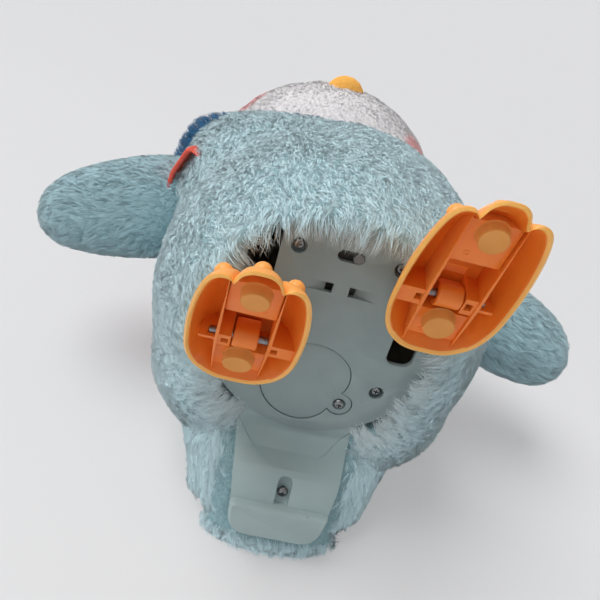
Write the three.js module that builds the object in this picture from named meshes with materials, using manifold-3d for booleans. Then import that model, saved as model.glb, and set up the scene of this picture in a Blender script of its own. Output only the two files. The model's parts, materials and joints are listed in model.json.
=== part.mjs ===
// Walking toy penguin: a plush skin over a plastic chassis with a motor, two swinging legs with
// hinged feet, two flapping wings and a tail support. Millimetres, +Z up, the belly faces -Y,
// the penguin's left is +X. The feet hang, as they do when the toy is lifted. The origin is under
// the middle of the toy, level with its lowest toe.
import * as THREE from 'three';
import { mergeVertices } from 'three/addons/utils/BufferGeometryUtils.js';
import { ConvexGeometry } from 'three/addons/geometries/ConvexGeometry.js';
import Module from 'manifold-3d';

const wasm = await Module();
wasm.setup();

// Driving dimensions, shared by several pieces
const gap = 0.3; // between two pieces that touch
const run = 0.4; // between two pieces that move past each other
const over = 1; // how far a cut runs past the face it opens
const small = 8; // sides of a screw or a thin pin
const round = 14; // sides of a round piece
const tailSides = 16; // sides of the tail's plush
const fine = 24; // sides of a large round piece
const shellSides = 24; // sides of the inner housing
const footSides = 26; // points of a foot's outline

// Colours and finishes
const shades = {
  plush: { color: 0x9fc0c8, roughness: 0.95 },
  face: { color: 0xe8e4e4, roughness: 0.9 },
  plate: { color: 0x8f9f9f, roughness: 0.6 },
  tail: { color: 0xa9b9b8, roughness: 0.6 },
  orange: { color: 0xf09a44, roughness: 0.5 },
  pad: { color: 0xcf9049, roughness: 0.8 },
  beak: { color: 0xf2b45c, roughness: 0.7 },
  navy: { color: 0x28587f, roughness: 0.95 },
  coral: { color: 0xe1645a, roughness: 0.85 },
  black: { color: 0x181818, roughness: 0.4 },
  grey: { color: 0x7b8080, roughness: 0.6 },
  white: { color: 0xd8d8d2, roughness: 0.6 },
  board: { color: 0x2c6a45, roughness: 0.6 },
  steel: { color: 0xb9bcc0, roughness: 0.3, metalness: 1 },
  cell: { color: 0x34424d, roughness: 0.4 },
};

// Base plate: its underside is what the photographed side shows
const plate = {
  under: 30.6, thick: 2.6, halfWidth: 53, front: -58, rear: 51, middle: -5,
};
plate.top = plate.under + plate.thick;
const frontPower = 3; // how square the front of the plate is

const slot = { inner: 28.6, outer: 40.6, front: -47, rear: 5, corner: 4 };
const sw = { x: 0, y: -40, length: 11.4, width: 5, knob: 2.3, proud: 0.9, travel: 5.6 };
sw.bodyLength = 15;
sw.bodyWidth = 8;
sw.bodyHeight = 5.6;
const vent = { inner: 3.4, y: -24.6, length: 11.6, width: 4.6, depth: 1.8 };

// Screws: pan heads in deep wells
const screw = { head: 2.7, headHeight: 1.8, shank: 1.2, length: 12, bore: 1.5, cross: 0.5 };
const crossShare = 0.62; // how far the cross in a screw's head reaches
const well = { bore: 3.7, wall: 1.6, rise: 6.4, floor: 1.8 };
const frontScrews = { x: 21.6, y: -39.7 };
const rearScrews = { x: 30.6, y: 21.6 };

// Battery bay: three upright cells in a round tube behind the gearbox
const cell = { radius: 7.1, length: 49, nub: 2.6, nubHeight: 1.2, apart: 0.5 };
const bay = { x: -1.5, y: 24.3, bore: 16.9, wall: 1.7, flange: 3.4, flangeHeight: 1.8 };
bay.contact = 2.6; // room for a spring at the door end
const door = { radius: 20.8, ear: 5.8, earX: 17.7, earY: 8, inset: 0.4, thick: 2 };

// Gearbox, motor and the crank shaft
const box = { halfWidth: 24, front: -44, rear: -0.8, top: 122, wall: 1.9 };
box.bottom = plate.top + well.rise;
const hip = { y: -26, z: 108, pin: 2, head: 3.4, headThick: 1.6, boss: 5.6 };
const crank = { z: 76, shaft: 2.5, disc: 8.6, discThick: 2.4, pin: 1.7 };
const wheel = { radius: 12.5, teeth: 20, toothDepth: 1.3, thick: 7, hub: 5 };
const worm = { radius: 2.8, turns: 5, below: 67, above: 87 };
const toothShares = [[0, 0], [0.28, 1], [0.5, 1], [0.78, 0]]; // along one tooth, and its height
const motor = { halfWidth: 10, halfDepth: 7.6, bottom: 91, length: 26, neck: 3, neckHeight: 1.6 };

// Legs and feet
const leg = { x: 34.6, width: 7.6, depth: 10, eye: 8, knuckle: 4.6, lean: 10.4 };
leg.slotWidth = 5.4;
leg.slotLength = 17;
leg.wide = 13;
const ankle = { height: 7.2, pin: 1.45, halfPin: 13.4 };
const foot = {
  halfWidth: 22.5, heel: 27.1, toe: 48.1, rim: 6.2, wall: 1.8, heelTop: 4.6, instep: 10.4, toeTop: 7.4,
};
foot.holeFront = 9.9;
foot.holeRear = 12.4;
foot.holeHalf = 4.9;
foot.rib = 9.1;
foot.ribThick = 1.4;
foot.ribUnder = 5.2;
foot.deck = 3.4; // underside of the pad decks, below the hinge
const pad = { radius: 6.2, frontAt: 34, rearAt: 10.4 };
const hang = { left: 17.8, right: 25.8 }; // degrees that each foot hangs toe-down at rest
const claw = { radius: 3.3, reach: 4.4, sink: 1.2, side: 14.2 };
const sideClawShare = 0.86; // how far forward the outer claws stand
const instepShare = 1.1; // how fast the top of the foot falls away from the hinge

// Tail support
const tail = {
  front: 40, bend: 64, end: 94, pad: 76.5, padEnd: 90, under: 32.4, bendZ: 15.6, stepZ: 10.2,
  thick: 3, halfFront: 28, halfMid: 24.6, halfPad: 22, halfEnd: 16.8, corner: 5,
};
const recess = { y: 70, length: 12.5, width: 6.4, depth: 3.4, wall: 1.8 };
const arm = { halfWidth: 11, thick: 3, front: 38, end: 80 };

// Inner housing that carries the plush
const housing = { halfWidth: 64, halfDepth: 62.5, wall: 2.2, top: 148, split: -2, rim: 1 };
const speaker = { y: 36, z: 112, radius: 17, thick: 7, ring: 2 };
const board = { halfWidth: 17, halfDepth: 13, post: 4, thick: 1.6, chip: 6, chipHeight: 2 };

// Plush forms
const body = { halfWidth: 78, halfDepth: 77, y: 2, z: 95, top: 168, bottom: 20, hem: 29.4 };
const bodyLowPower = 4.2; // how full the lower body is
const skin = 0.9; // clearance between a plush form and the housing
const tailPlush = { y: 82, z: 21, halfWidth: 31, halfLength: 19, halfHeight: 13.4 };
const rump = { y: 36, z: 62, halfWidth: 52, halfLength: 34, halfHeight: 34 };
const head = { y: -6, z: 196, halfWidth: 74, halfDepth: 70, halfHeight: 70 };
const hood = { y: 16, tilt: 24 }; // the plane between the white face and the hood
const beak = { z: 199, halfWidth: 12, halfHeight: 8.5, halfDepth: 11, sink: 3 };
const eye = { x: 25, z: 210, radius: 6, proud: 3 };
const collar = { z: 149.5, radius: 61, tube: 9 };
const vest = { thick: 2.4, bottom: 99, open: 55, frontTo: -8 };

// Wings: each swings about a pin that runs front to back in the housing
const wing = { inset: 14, y: -2, z: 127, droop: 10, sweep: 6, length: 100, start: 15 };
wing.x = housing.halfWidth - wing.inset;
wing.up = 20; // flaps up from rest, which is its lower stop
const wingHalfWidths = [17, 24, 27, 27, 24, 16, 7];
const wingHalfThicks = [12, 16, 17.5, 17, 14, 9, 4];
const wingShares = [0, 0.2, 0.42, 0.66, 0.86, 0.96, 1]; // along the wing, one for each ring
const spar = { halfThick: 2.5, halfWidth: 9, length: 74, pin: 2, halfPin: 10, hub: 5, lug: 3 };

const rad = THREE.MathUtils.degToRad;
const turn = Math.PI * 2;
const group = new THREE.Group();

// Turns a closed geometry into a solid that can be joined and cut
function solid(geometry) {
  const bare = geometry.index ? geometry.toNonIndexed() : geometry.clone();
  for (const name of Object.keys(bare.attributes)) {
    if (name !== 'position') bare.deleteAttribute(name);
  }
  const merged = mergeVertices(bare, 1e-4);
  return new wasm.Manifold(new wasm.Mesh({
    numProp: 3,
    vertProperties: new Float32Array(merged.attributes.position.array),
    triVerts: new Uint32Array(merged.index.array),
  }));
}

// Turns a solid back into a geometry
function geometryOf(shape) {
  const mesh = shape.getMesh();
  const geometry = new THREE.BufferGeometry();
  geometry.setAttribute('position', new THREE.BufferAttribute(new Float32Array(mesh.vertProperties), 3));
  geometry.setIndex(new THREE.BufferAttribute(new Uint32Array(mesh.triVerts), 1));
  return geometry;
}

const join = (...shapes) => shapes.reduce((a, b) => a.add(b));
const cut = (shape, ...tools) => tools.reduce((a, b) => a.subtract(b), shape);
const common = (a, b) => a.intersect(b);

function part(name, shape, shade, parent = group) {
  const material = new THREE.MeshStandardMaterial(shades[shade]);
  const mesh = new THREE.Mesh(geometryOf(shape), material);
  mesh.name = name;
  parent.add(mesh);
  return mesh;
}

// Simple solids, each given by where it starts and ends
function block(x0, x1, y0, y1, z0, z1) {
  const shape = new THREE.BoxGeometry(x1 - x0, y1 - y0, z1 - z0);
  shape.translate((x0 + x1) / 2, (y0 + y1) / 2, (z0 + z1) / 2);
  return solid(shape);
}

function upright(radius, x, y, z0, z1, sides = round) {
  const shape = new THREE.CylinderGeometry(radius, radius, z1 - z0, sides);
  shape.rotateX(Math.PI / 2);
  shape.translate(x, y, (z0 + z1) / 2);
  return solid(shape);
}

function across(radius, x0, x1, y, z, sides = round) {
  const shape = new THREE.CylinderGeometry(radius, radius, Math.abs(x1 - x0), sides);
  shape.rotateZ(Math.PI / 2);
  shape.translate((x0 + x1) / 2, y, z);
  return solid(shape);
}

function along(radius, x, y0, y1, z, sides = round) {
  const shape = new THREE.CylinderGeometry(radius, radius, Math.abs(y1 - y0), sides);
  shape.translate(x, (y0 + y1) / 2, z);
  return solid(shape);
}

// A flat outline raised from z0 to z1
function prism(points, z0, z1) {
  const shape = new THREE.ExtrudeGeometry(new THREE.Shape(points), { depth: z1 - z0, bevelEnabled: false });
  shape.translate(0, 0, z0);
  return solid(shape);
}

// A side outline in Y and Z, carried across from x0 to x1
function profile(points, x0, x1) {
  const outline = points.map(([y, z]) => new THREE.Vector2(y, z));
  const depth = x1 - x0;
  const shape = new THREE.ExtrudeGeometry(new THREE.Shape(outline), { depth, bevelEnabled: false });
  shape.rotateX(Math.PI / 2);
  shape.rotateZ(Math.PI / 2);
  shape.translate(x0, 0, 0);
  return solid(shape);
}

function ball(x, y, z, rx, ry, rz, sides = fine) {
  const shape = new THREE.SphereGeometry(1, sides, sides / 2);
  shape.rotateX(Math.PI / 2);
  shape.scale(rx, ry, rz);
  shape.translate(x, y, z);
  return solid(shape);
}

// A closed skin over rings of equally many points, flat at both ends
function loft(rings) {
  const count = rings[0].length;
  const points = rings.flat();
  const faces = [];
  for (let r = 0; r + 1 < rings.length; r += 1) {
    for (let i = 0; i < count; i += 1) {
      const a = r * count + i;
      const b = r * count + ((i + 1) % count);
      faces.push(a, b, b + count, a, b + count, a + count);
    }
  }
  const last = (rings.length - 1) * count;
  const ends = [0, last].map((first) => {
    const middle = new THREE.Vector3();
    for (let i = 0; i < count; i += 1) middle.add(points[first + i]);
    points.push(middle.divideScalar(count));
    return points.length - 1;
  });
  for (let i = 0; i < count; i += 1) {
    const next = (i + 1) % count;
    faces.push(ends[0], next, i, ends[1], last + i, last + next);
  }
  const geometry = new THREE.BufferGeometry().setFromPoints(points);
  geometry.setIndex(faces);
  return solid(geometry);
}

// A superellipse ring at height z
function ring(halfWidth, halfDepth, y, z, power = 2, count = fine) {
  return Array.from({ length: count }, (_, i) => {
    const a = (turn * i) / count;
    const c = Math.cos(a);
    const s = Math.sin(a);
    const reach = (Math.abs(c) ** power + Math.abs(s) ** power) ** (-1 / power);
    return new THREE.Vector3(reach * c * halfWidth, y + reach * s * halfDepth, z);
  });
}

function pill(x, y, halfLength, halfWidth, sides = round) {
  const reach = halfLength - halfWidth;
  return Array.from({ length: sides }, (_, i) => {
    const a = (turn * (i + 1 / 2)) / sides;
    const middle = x + Math.sign(Math.cos(a)) * reach;
    return new THREE.Vector2(middle + halfWidth * Math.cos(a), y + halfWidth * Math.sin(a));
  });
}

function roundedRect(x0, x1, y0, y1, corner) {
  const shape = new THREE.Shape();
  shape.moveTo(x0 + corner, y0);
  shape.lineTo(x1 - corner, y0);
  shape.absarc(x1 - corner, y0 + corner, corner, -Math.PI / 2, 0);
  shape.lineTo(x1, y1 - corner);
  shape.absarc(x1 - corner, y1 - corner, corner, 0, Math.PI / 2);
  shape.lineTo(x0 + corner, y1);
  shape.absarc(x0 + corner, y1 - corner, corner, Math.PI / 2, Math.PI);
  shape.lineTo(x0, y0 + corner);
  shape.absarc(x0 + corner, y0 + corner, corner, Math.PI, Math.PI * 3 / 2);
  return shape.getPoints(3).filter((p, i, all) => i === 0 || p.distanceTo(all[i - 1]) > 1e-6).slice(0, -1);
}

// Base plate
function plateOutline(grow = 0, count = fine * 2) {
  return Array.from({ length: count }, (_, i) => {
    const a = (turn * i) / count;
    const c = Math.cos(a);
    const s = Math.sin(a);
    const power = s < 0 ? frontPower : 2;
    const reach = (Math.abs(c) ** power + Math.abs(s) ** power) ** (-1 / power);
    const depth = s < 0 ? plate.middle - plate.front : plate.rear - plate.middle;
    return new THREE.Vector2(reach * c * (plate.halfWidth + grow), plate.middle + reach * s * (depth + grow));
  });
}

function doorShape(grow, z0, z1) {
  return join(
    upright(door.radius + grow, bay.x, bay.y, z0, z1, fine),
    upright(door.ear + grow, bay.x + door.earX, bay.y + door.earY, z0, z1),
  );
}

const doorScrew = { x: bay.x + door.earX, y: bay.y + door.earY };
const screwPlaces = [
  [-frontScrews.x, frontScrews.y], [frontScrews.x, frontScrews.y],
  [-rearScrews.x, rearScrews.y], [rearScrews.x, rearScrews.y],
];
const bayTop = plate.top + bay.contact + cell.length + cell.nubHeight + bay.wall + cell.apart * 3;

// The arm that reaches back from the plate to hold the tail support
function armSide(grow = 0) {
  const lift = tail.thick + gap - grow;
  const top = lift + arm.thick + grow * 2;
  return [
    [arm.front - grow, plate.top - (grow ? over : 0)],
    [plate.rear + gap, plate.top - (grow ? over : 0)],
    [plate.rear + gap, tail.under + lift],
    [plate.rear + tail.thick, tail.under + lift],
    [tail.bend, tail.bendZ + lift],
    [arm.end + grow, tail.stepZ + lift],
    [arm.end + grow, tail.stepZ + top],
    [tail.bend + tail.thick / 2, tail.bendZ + top],
    [plate.rear + tail.thick + arm.thick / 2, tail.under + top],
    [arm.front - grow, tail.under + top],
  ];
}

function slotShape(side, z0, z1) {
  const outline = roundedRect(slot.inner, slot.outer, slot.front, slot.rear, slot.corner);
  const points = side > 0 ? outline : outline.map((p) => new THREE.Vector2(-p.x, p.y)).reverse();
  return prism(points, z0, z1);
}

function ventShape(side) {
  const slope = [[0, -over], [vent.length, -over], [vent.length, 0], [0, vent.depth]];
  const wedge = profile(slope, -vent.width / 2, vent.width / 2);
  return wedge.rotate([0, 0, side > 0 ? -90 : 90]).translate([side * vent.inner, vent.y, plate.under]);
}

function basePlate() {
  let shape = prism(plateOutline(), plate.under, plate.top);
  shape = join(
    shape,
    upright(bay.bore + bay.wall, bay.x, bay.y, plate.top - gap, bayTop, fine),
    upright(door.radius + bay.flange, bay.x, bay.y, plate.top - gap, plate.top + bay.flangeHeight, fine),
    upright(door.ear, doorScrew.x, doorScrew.y, plate.top - gap, plate.top + screw.length, round),
    cut(
      join(
        profile(armSide(), -arm.halfWidth, arm.halfWidth),
        upright(screw.head + well.wall, 0, recess.y, tail.stepZ + recess.depth, tail.bendZ + screw.length),
      ),
      recessForm(recess.wall + gap, 0, tail.stepZ + recess.depth + recess.wall + gap),
      cut(tailForm(gap), prism(plateOutline(), 0, plate.top + tail.thick * 3)),
    ),
  );
  for (const [x, y] of screwPlaces) {
    shape = join(shape, upright(well.bore + well.wall, x, y, plate.top - gap, plate.top + well.rise));
  }
  const inside = bayTop - bay.wall;
  shape = cut(
    shape,
    upright(bay.bore, bay.x, bay.y, plate.under - over, inside, fine),
    doorShape(gap, plate.under - over, plate.under + door.inset + door.thick + gap),
    upright(screw.bore, doorScrew.x, doorScrew.y, plate.under, plate.top + screw.length - bay.wall),
    slotShape(1, plate.under - over, plate.top + over),
    slotShape(-1, plate.under - over, plate.top + over),
    prism(pill(sw.x, sw.y, sw.length / 2, sw.width / 2), plate.under - over, plate.top + over),
    ventShape(1),
    ventShape(-1),
    upright(screw.bore, 0, recess.y, 0, tail.bendZ + screw.length - well.floor),
  );
  for (const [x, y] of screwPlaces) {
    const roof = plate.top + well.rise;
    shape = cut(
      shape,
      upright(well.bore, x, y, plate.under - over, roof - well.floor),
      upright(screw.bore, x, y, plate.under, roof + over),
    );
  }
  return shape;
}

function panScrew(x, y, seat, length) {
  const head = upright(screw.head, x, y, seat - gap - screw.headHeight, seat - gap, small);
  const shank = upright(screw.shank, x, y, seat - gap - screw.headHeight / 2, seat + length, small);
  const slotDeep = seat - gap - screw.headHeight / 2;
  const low = seat - gap - screw.headHeight - over;
  const reach = screw.head * crossShare;
  return cut(
    join(head, shank),
    block(x - reach, x + reach, y - screw.cross / 2, y + screw.cross / 2, low, slotDeep),
    block(x - screw.cross / 2, x + screw.cross / 2, y - reach, y + reach, low, slotDeep),
  );
}

// Battery door, its screw and the cells
const doorTop = plate.under + door.inset + door.thick;
const doorSeat = doorTop - door.thick / 2;
function batteryDoor() {
  const shape = doorShape(0, plate.under + door.inset, doorTop);
  const { x, y } = doorScrew;
  const seat = upright(screw.head + gap, x, y, plate.under - over, doorSeat);
  return cut(shape, seat, upright(screw.bore, x, y, plate.under - over, doorTop + over));
}

const cellRing = (cell.radius + cell.apart / 2) / Math.sin(Math.PI / 3);
const cellPlaces = [0, 1, 2].map((i) => {
  const a = Math.PI / 2 + (turn * i) / 3;
  return [bay.x + cellRing * Math.cos(a), bay.y + cellRing * Math.sin(a)];
});
const cellBottom = doorTop + gap + bay.contact;

function batteryCell([x, y], flip) {
  const barrel = upright(cell.radius, x, y, cellBottom, cellBottom + cell.length);
  const nub = flip
    ? upright(cell.nub, x, y, cellBottom - cell.nubHeight, cellBottom + over)
    : upright(cell.nub, x, y, cellBottom + cell.length - over, cellBottom + cell.length + cell.nubHeight);
  return join(barrel, nub);
}

// Strip contacts above the cells, pressed into the roof of the bay
function topContacts() {
  const roof = bayTop - bay.wall - gap;
  const top = cellBottom + cell.length + cell.nubHeight + gap;
  return cut(
    upright(bay.bore - gap, bay.x, bay.y, top, roof, fine),
    upright(cell.nub, bay.x, bay.y, top - over, roof + over),
  );
}

// Contact plate on the door, with a low coil under each cell
function doorContacts() {
  const low = doorTop + gap;
  let shape = upright(bay.bore - gap * 2, bay.x, bay.y, low, low + cell.apart, fine);
  for (const [i, [x, y]] of cellPlaces.entries()) {
    const rise = i === 1 ? bay.contact - cell.nubHeight - gap : bay.contact - gap;
    shape = join(shape, upright(cell.nub, x, y, low, low + rise));
  }
  return shape;
}

part('base_plate', basePlate(), 'plate');
part('battery_door', batteryDoor(), 'plate');
part('battery_door_screw', panScrew(doorScrew.x, doorScrew.y, doorSeat, screw.length / 2), 'steel');
const baseScrewSeat = plate.top + well.rise - well.floor;
const screwNames = ['front_right', 'front_left', 'rear_right', 'rear_left'];
screwPlaces.forEach(([x, y], i) => {
  part(`base_screw_${screwNames[i]}`, panScrew(x, y, baseScrewSeat, screw.length), 'steel');
});
cellPlaces.forEach((place, i) => part(`battery_cell_${i + 1}`, batteryCell(place, i === 1), 'cell'));
part('battery_top_contacts', topContacts(), 'steel');
part('battery_door_contacts', doorContacts(), 'steel');

// Power switch
const knobX = sw.x + sw.length / 2 - sw.knob - gap;
const switchTop = plate.top + gap + sw.bodyHeight;
part('power_switch_knob', upright(sw.knob, knobX, sw.y, plate.under - sw.proud, plate.top), 'grey');
part('slide_switch', block(
  sw.x - sw.bodyLength / 2, sw.x + sw.bodyLength / 2,
  sw.y - sw.bodyWidth / 2, sw.y + sw.bodyWidth / 2,
  plate.top + gap, switchTop,
), 'black');

// Tail support
function tailWidth(grow = 0) {
  const ends = [
    [tail.halfFront, tail.front], [tail.halfFront, plate.rear - tail.corner], [tail.halfMid, tail.bend],
    [tail.halfPad + gap, tail.pad], [tail.halfEnd + tail.corner / 2, tail.padEnd - tail.corner / 2],
    [tail.halfEnd, tail.padEnd + tail.corner / 4], [tail.halfEnd - tail.corner, tail.end],
  ];
  const right = ends.map(([x, y]) => new THREE.Vector2(x + grow, y + (y > tail.padEnd ? grow : 0)));
  const left = ends.map(([x, y]) => new THREE.Vector2(-x - grow, y + (y > tail.padEnd ? grow : 0))).reverse();
  return [...right, ...left];
}

function tailSide(grow = 0) {
  const lift = tail.thick + grow;
  return [
    [tail.front, tail.under - grow], [plate.rear + tail.thick, tail.under - grow],
    [tail.bend, tail.bendZ - grow], [tail.pad - gap, tail.stepZ - grow],
    [tail.pad, over - grow], [tail.pad + over, 0 - grow], [tail.padEnd, 0 - grow],
    [tail.padEnd + over, over - grow], [tail.padEnd + over * 2, tail.stepZ - tail.thick - grow],
    [tail.end + grow, tail.stepZ - grow], [tail.end + grow, tail.stepZ + lift],
    [tail.pad, tail.stepZ + lift], [tail.bend, tail.bendZ + lift],
    [plate.rear + tail.thick, tail.under + lift], [tail.front, tail.under + lift],
  ];
}

function tailForm(grow = 0) {
  const halfFront = tail.halfFront + grow;
  const wide = prism(tailWidth(grow), -tail.thick, plate.top + tail.thick * 2);
  return common(profile(tailSide(grow), -halfFront, halfFront), wide);
}

// The pocket for the tail screw, and with a wall around it its boss on the hidden side
function recessForm(grow, z0, z1) {
  return prism(roundedRect(
    -recess.width / 2 - grow, recess.width / 2 + grow,
    recess.y - recess.length / 2 - grow, recess.y + recess.length / 2 + grow, recess.width / 2 - gap,
  ), z0, z1);
}

function tailSupport() {
  const floor = tail.stepZ + recess.depth;
  return cut(
    join(tailForm(), recessForm(recess.wall, tail.stepZ, floor + recess.wall)),
    recessForm(0, -over, floor),
    upright(screw.bore, 0, recess.y, 0, tail.bendZ + tail.thick * 2),
    prism(plateOutline(gap), 0, plate.top + tail.thick * 3),
  );
}

part('tail_support', tailSupport(), 'tail');
const tailSeat = tail.stepZ + recess.depth;
part('tail_screw', panScrew(0, recess.y, tailSeat, screw.length), 'steel');

// Gearbox: two half boxes that meet on the middle plane
const wormY = hip.y + wheel.radius + worm.radius + gap;
function gearboxHalf(side) {
  const { halfWidth, front, rear, top, wall, bottom } = box;
  let shape = cut(
    block(gap / 2, halfWidth, front, rear, bottom + gap, top),
    block(-over, halfWidth - wall, front + wall, rear - wall, bottom + gap + wall, top - wall),
  );
  shape = join(
    shape,
    across(hip.boss, halfWidth - wall * 2, leg.x - leg.width / 2 - run, hip.y, hip.z),
    upright(well.bore, frontScrews.x - gap, frontScrews.y, bottom + gap, bottom + screw.length),
    block(
      motor.neck + gap, halfWidth - wall / 2, wormY - motor.halfDepth, rear - wall / 2,
      motor.bottom - wall - gap, motor.bottom - gap,
    ),
  );
  shape = cut(
    shape,
    across(hip.pin + gap / 2, 0, leg.x, hip.y, hip.z),
    across(crank.shaft + run, 0, leg.x, hip.y, crank.z),
    upright(screw.bore, frontScrews.x, frontScrews.y, 0, bottom + screw.length - wall + gap * 2),
    block(
      -over, sw.bodyLength / 2 + gap, sw.y - sw.bodyWidth, sw.y + sw.bodyWidth, bottom - over, switchTop + gap,
    ),
  );
  return side > 0 ? shape : shape.mirror([1, 0, 0]);
}

part('gearbox_left', gearboxHalf(1), 'white');
part('gearbox_right', gearboxHalf(-1), 'grey');

// Motor, worm, worm wheel and the shaft with its two cranks
const motorTop = motor.bottom + motor.length;
function motorBody() {
  const { halfWidth, halfDepth, bottom } = motor;
  const can = common(
    upright(halfWidth, 0, wormY, bottom, motorTop),
    block(-halfWidth, halfWidth, wormY - halfDepth, wormY + halfDepth, bottom, motorTop),
  );
  return join(can, upright(motor.neck, 0, wormY, bottom - motor.neckHeight, bottom + over));
}

function wormShape() {
  const pitch = (worm.above - worm.below) / worm.turns;
  const points = [new THREE.Vector2(0, worm.below)];
  for (let i = 0; i < worm.turns; i += 1) {
    const low = worm.below + pitch * i;
    points.push(new THREE.Vector2(worm.radius - pitch / 3, low));
    points.push(new THREE.Vector2(worm.radius, low + pitch / 3));
    points.push(new THREE.Vector2(worm.radius, low + pitch / 2));
  }
  points.push(new THREE.Vector2(worm.radius - pitch / 3, worm.above));
  points.push(new THREE.Vector2(0, worm.above));
  const shape = new THREE.LatheGeometry(points, round / 2);
  shape.rotateX(Math.PI / 2);
  shape.translate(0, wormY, 0);
  return solid(shape);
}

function wormWheel() {
  const points = [];
  for (let i = 0; i < wheel.teeth; i += 1) {
    for (const [share, reach] of toothShares) {
      const a = (turn * (i + share)) / wheel.teeth;
      const r = wheel.radius - wheel.toothDepth * (1 - reach);
      points.push(new THREE.Vector2(r * Math.cos(a), r * Math.sin(a)));
    }
  }
  const flat = prism(points, -wheel.thick / 2, wheel.thick / 2);
  const disc = flat.rotate([0, 90, 0]).translate([0, hip.y, crank.z]);
  const hub = across(wheel.hub, -wheel.thick, wheel.thick, hip.y, crank.z);
  return cut(join(disc, hub), across(crank.shaft + gap / 2, -wheel.radius, wheel.radius, hip.y, crank.z));
}

const throwOf = (hip.z - crank.z) * Math.tan(rad(leg.lean));
const crankInner = box.halfWidth + run;
const crankOuter = crankInner + crank.discThick;
function crankShaft() {
  let shape = across(crank.shaft, -crankInner - gap, crankInner + gap, hip.y, crank.z);
  for (const side of [1, -1]) {
    const pinEnd = leg.x - leg.width / 2 - run;
    shape = join(
      shape,
      across(crank.disc, side * crankInner, side * crankOuter, hip.y, crank.z),
      across(crank.pin, side * crankInner, side * pinEnd, hip.y - side * throwOf, crank.z),
    );
  }
  return shape;
}

part('drive_motor', motorBody(), 'steel');
part('motor_worm', wormShape(), 'steel');
part('worm_wheel', wormWheel(), 'white');
part('crank_shaft', crankShaft(), 'steel');

// Legs: hung from pins on the gearbox, pushed by the cranks, one forward and one back at rest
const legLength = (hip.z - ankle.height) / Math.cos(rad(leg.lean));
function legShape() {
  const half = leg.width / 2;
  const slotAt = -(hip.z - crank.z) / Math.cos(rad(leg.lean));
  const bar = profile([
    [-leg.eye, 0], [-leg.wide / 2, slotAt + leg.slotLength], [-leg.wide / 2, slotAt - leg.slotLength],
    [-leg.depth / 2, slotAt - leg.slotLength - leg.wide], [-leg.depth / 2, -legLength + leg.eye * 2],
    [-leg.knuckle, -legLength], [leg.knuckle, -legLength], [leg.depth / 2, -legLength + leg.eye * 2],
    [leg.depth / 2, slotAt - leg.slotLength - leg.wide], [leg.wide / 2, slotAt - leg.slotLength],
    [leg.wide / 2, slotAt + leg.slotLength], [leg.eye, 0],
  ], -half, half);
  return cut(
    join(bar, across(leg.eye, -half, half, 0, 0), across(leg.knuckle, -half, half, 0, -legLength)),
    across(hip.pin + run, -leg.width, leg.width, 0, 0),
    across(ankle.pin + run, -leg.width, leg.width, 0, -legLength),
    block(
      -half - over, half + over, -leg.slotWidth / 2, leg.slotWidth / 2,
      slotAt - leg.slotLength / 2, slotAt + leg.slotLength / 2,
    ),
  );
}

// Half of the foot's outline as shares of its half width and of its length before and behind the hinge
const footShares = [
  [0, 1], [0.42, 0.95], [0.78, 0.7], [0.96, 0.32], [1, -0.1], [0.97, -0.34], [0.88, -0.6], [0.78, -0.78],
  [0.64, -0.875], [0.48, -0.875], [0.36, -0.835], [0.27, -0.885], [0.15, -0.965], [0, -1],
];
function footOutline(inset, count = footSides) {
  const at = ([x, y]) => new THREE.Vector2(
    x * (foot.halfWidth - inset),
    y > 0 ? y * (foot.heel - inset) : y * (foot.toe - inset),
  );
  const right = footShares.map(at);
  const left = footShares.slice(1, -1).reverse().map(([x, y]) => at([-x, y]));
  const points = [...right, ...left].map((p) => new THREE.Vector3(p.x, p.y, 0));
  const curve = new THREE.CatmullRomCurve3(points, true);
  return curve.getSpacedPoints(count).slice(0, -1).reverse();
}

function footTop(y) {
  const back = y > 0 ? y / foot.heel : -y / foot.toe;
  const end = y > 0 ? foot.heelTop : foot.toeTop;
  const ease = (1 + Math.cos(Math.PI * Math.min(1, back * instepShare))) / 2;
  return end + (foot.instep - end) * ease;
}

// Share of the way up and of the outline for each ring of the foot
const footRingShares = [[0, 0.985], [0.3, 1], [0.64, 0.97], [0.88, 0.84], [1, 0.56]];
function footForm(inset, drop) {
  const low = -foot.rim - drop;
  const outline = footOutline(inset);
  return loft(footRingShares.map(([up, share]) => outline.map((p) => new THREE.Vector3(
    p.x * share, p.y * share, low + (footTop(p.y * share) - inset - low) * up,
  ))));
}

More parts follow.
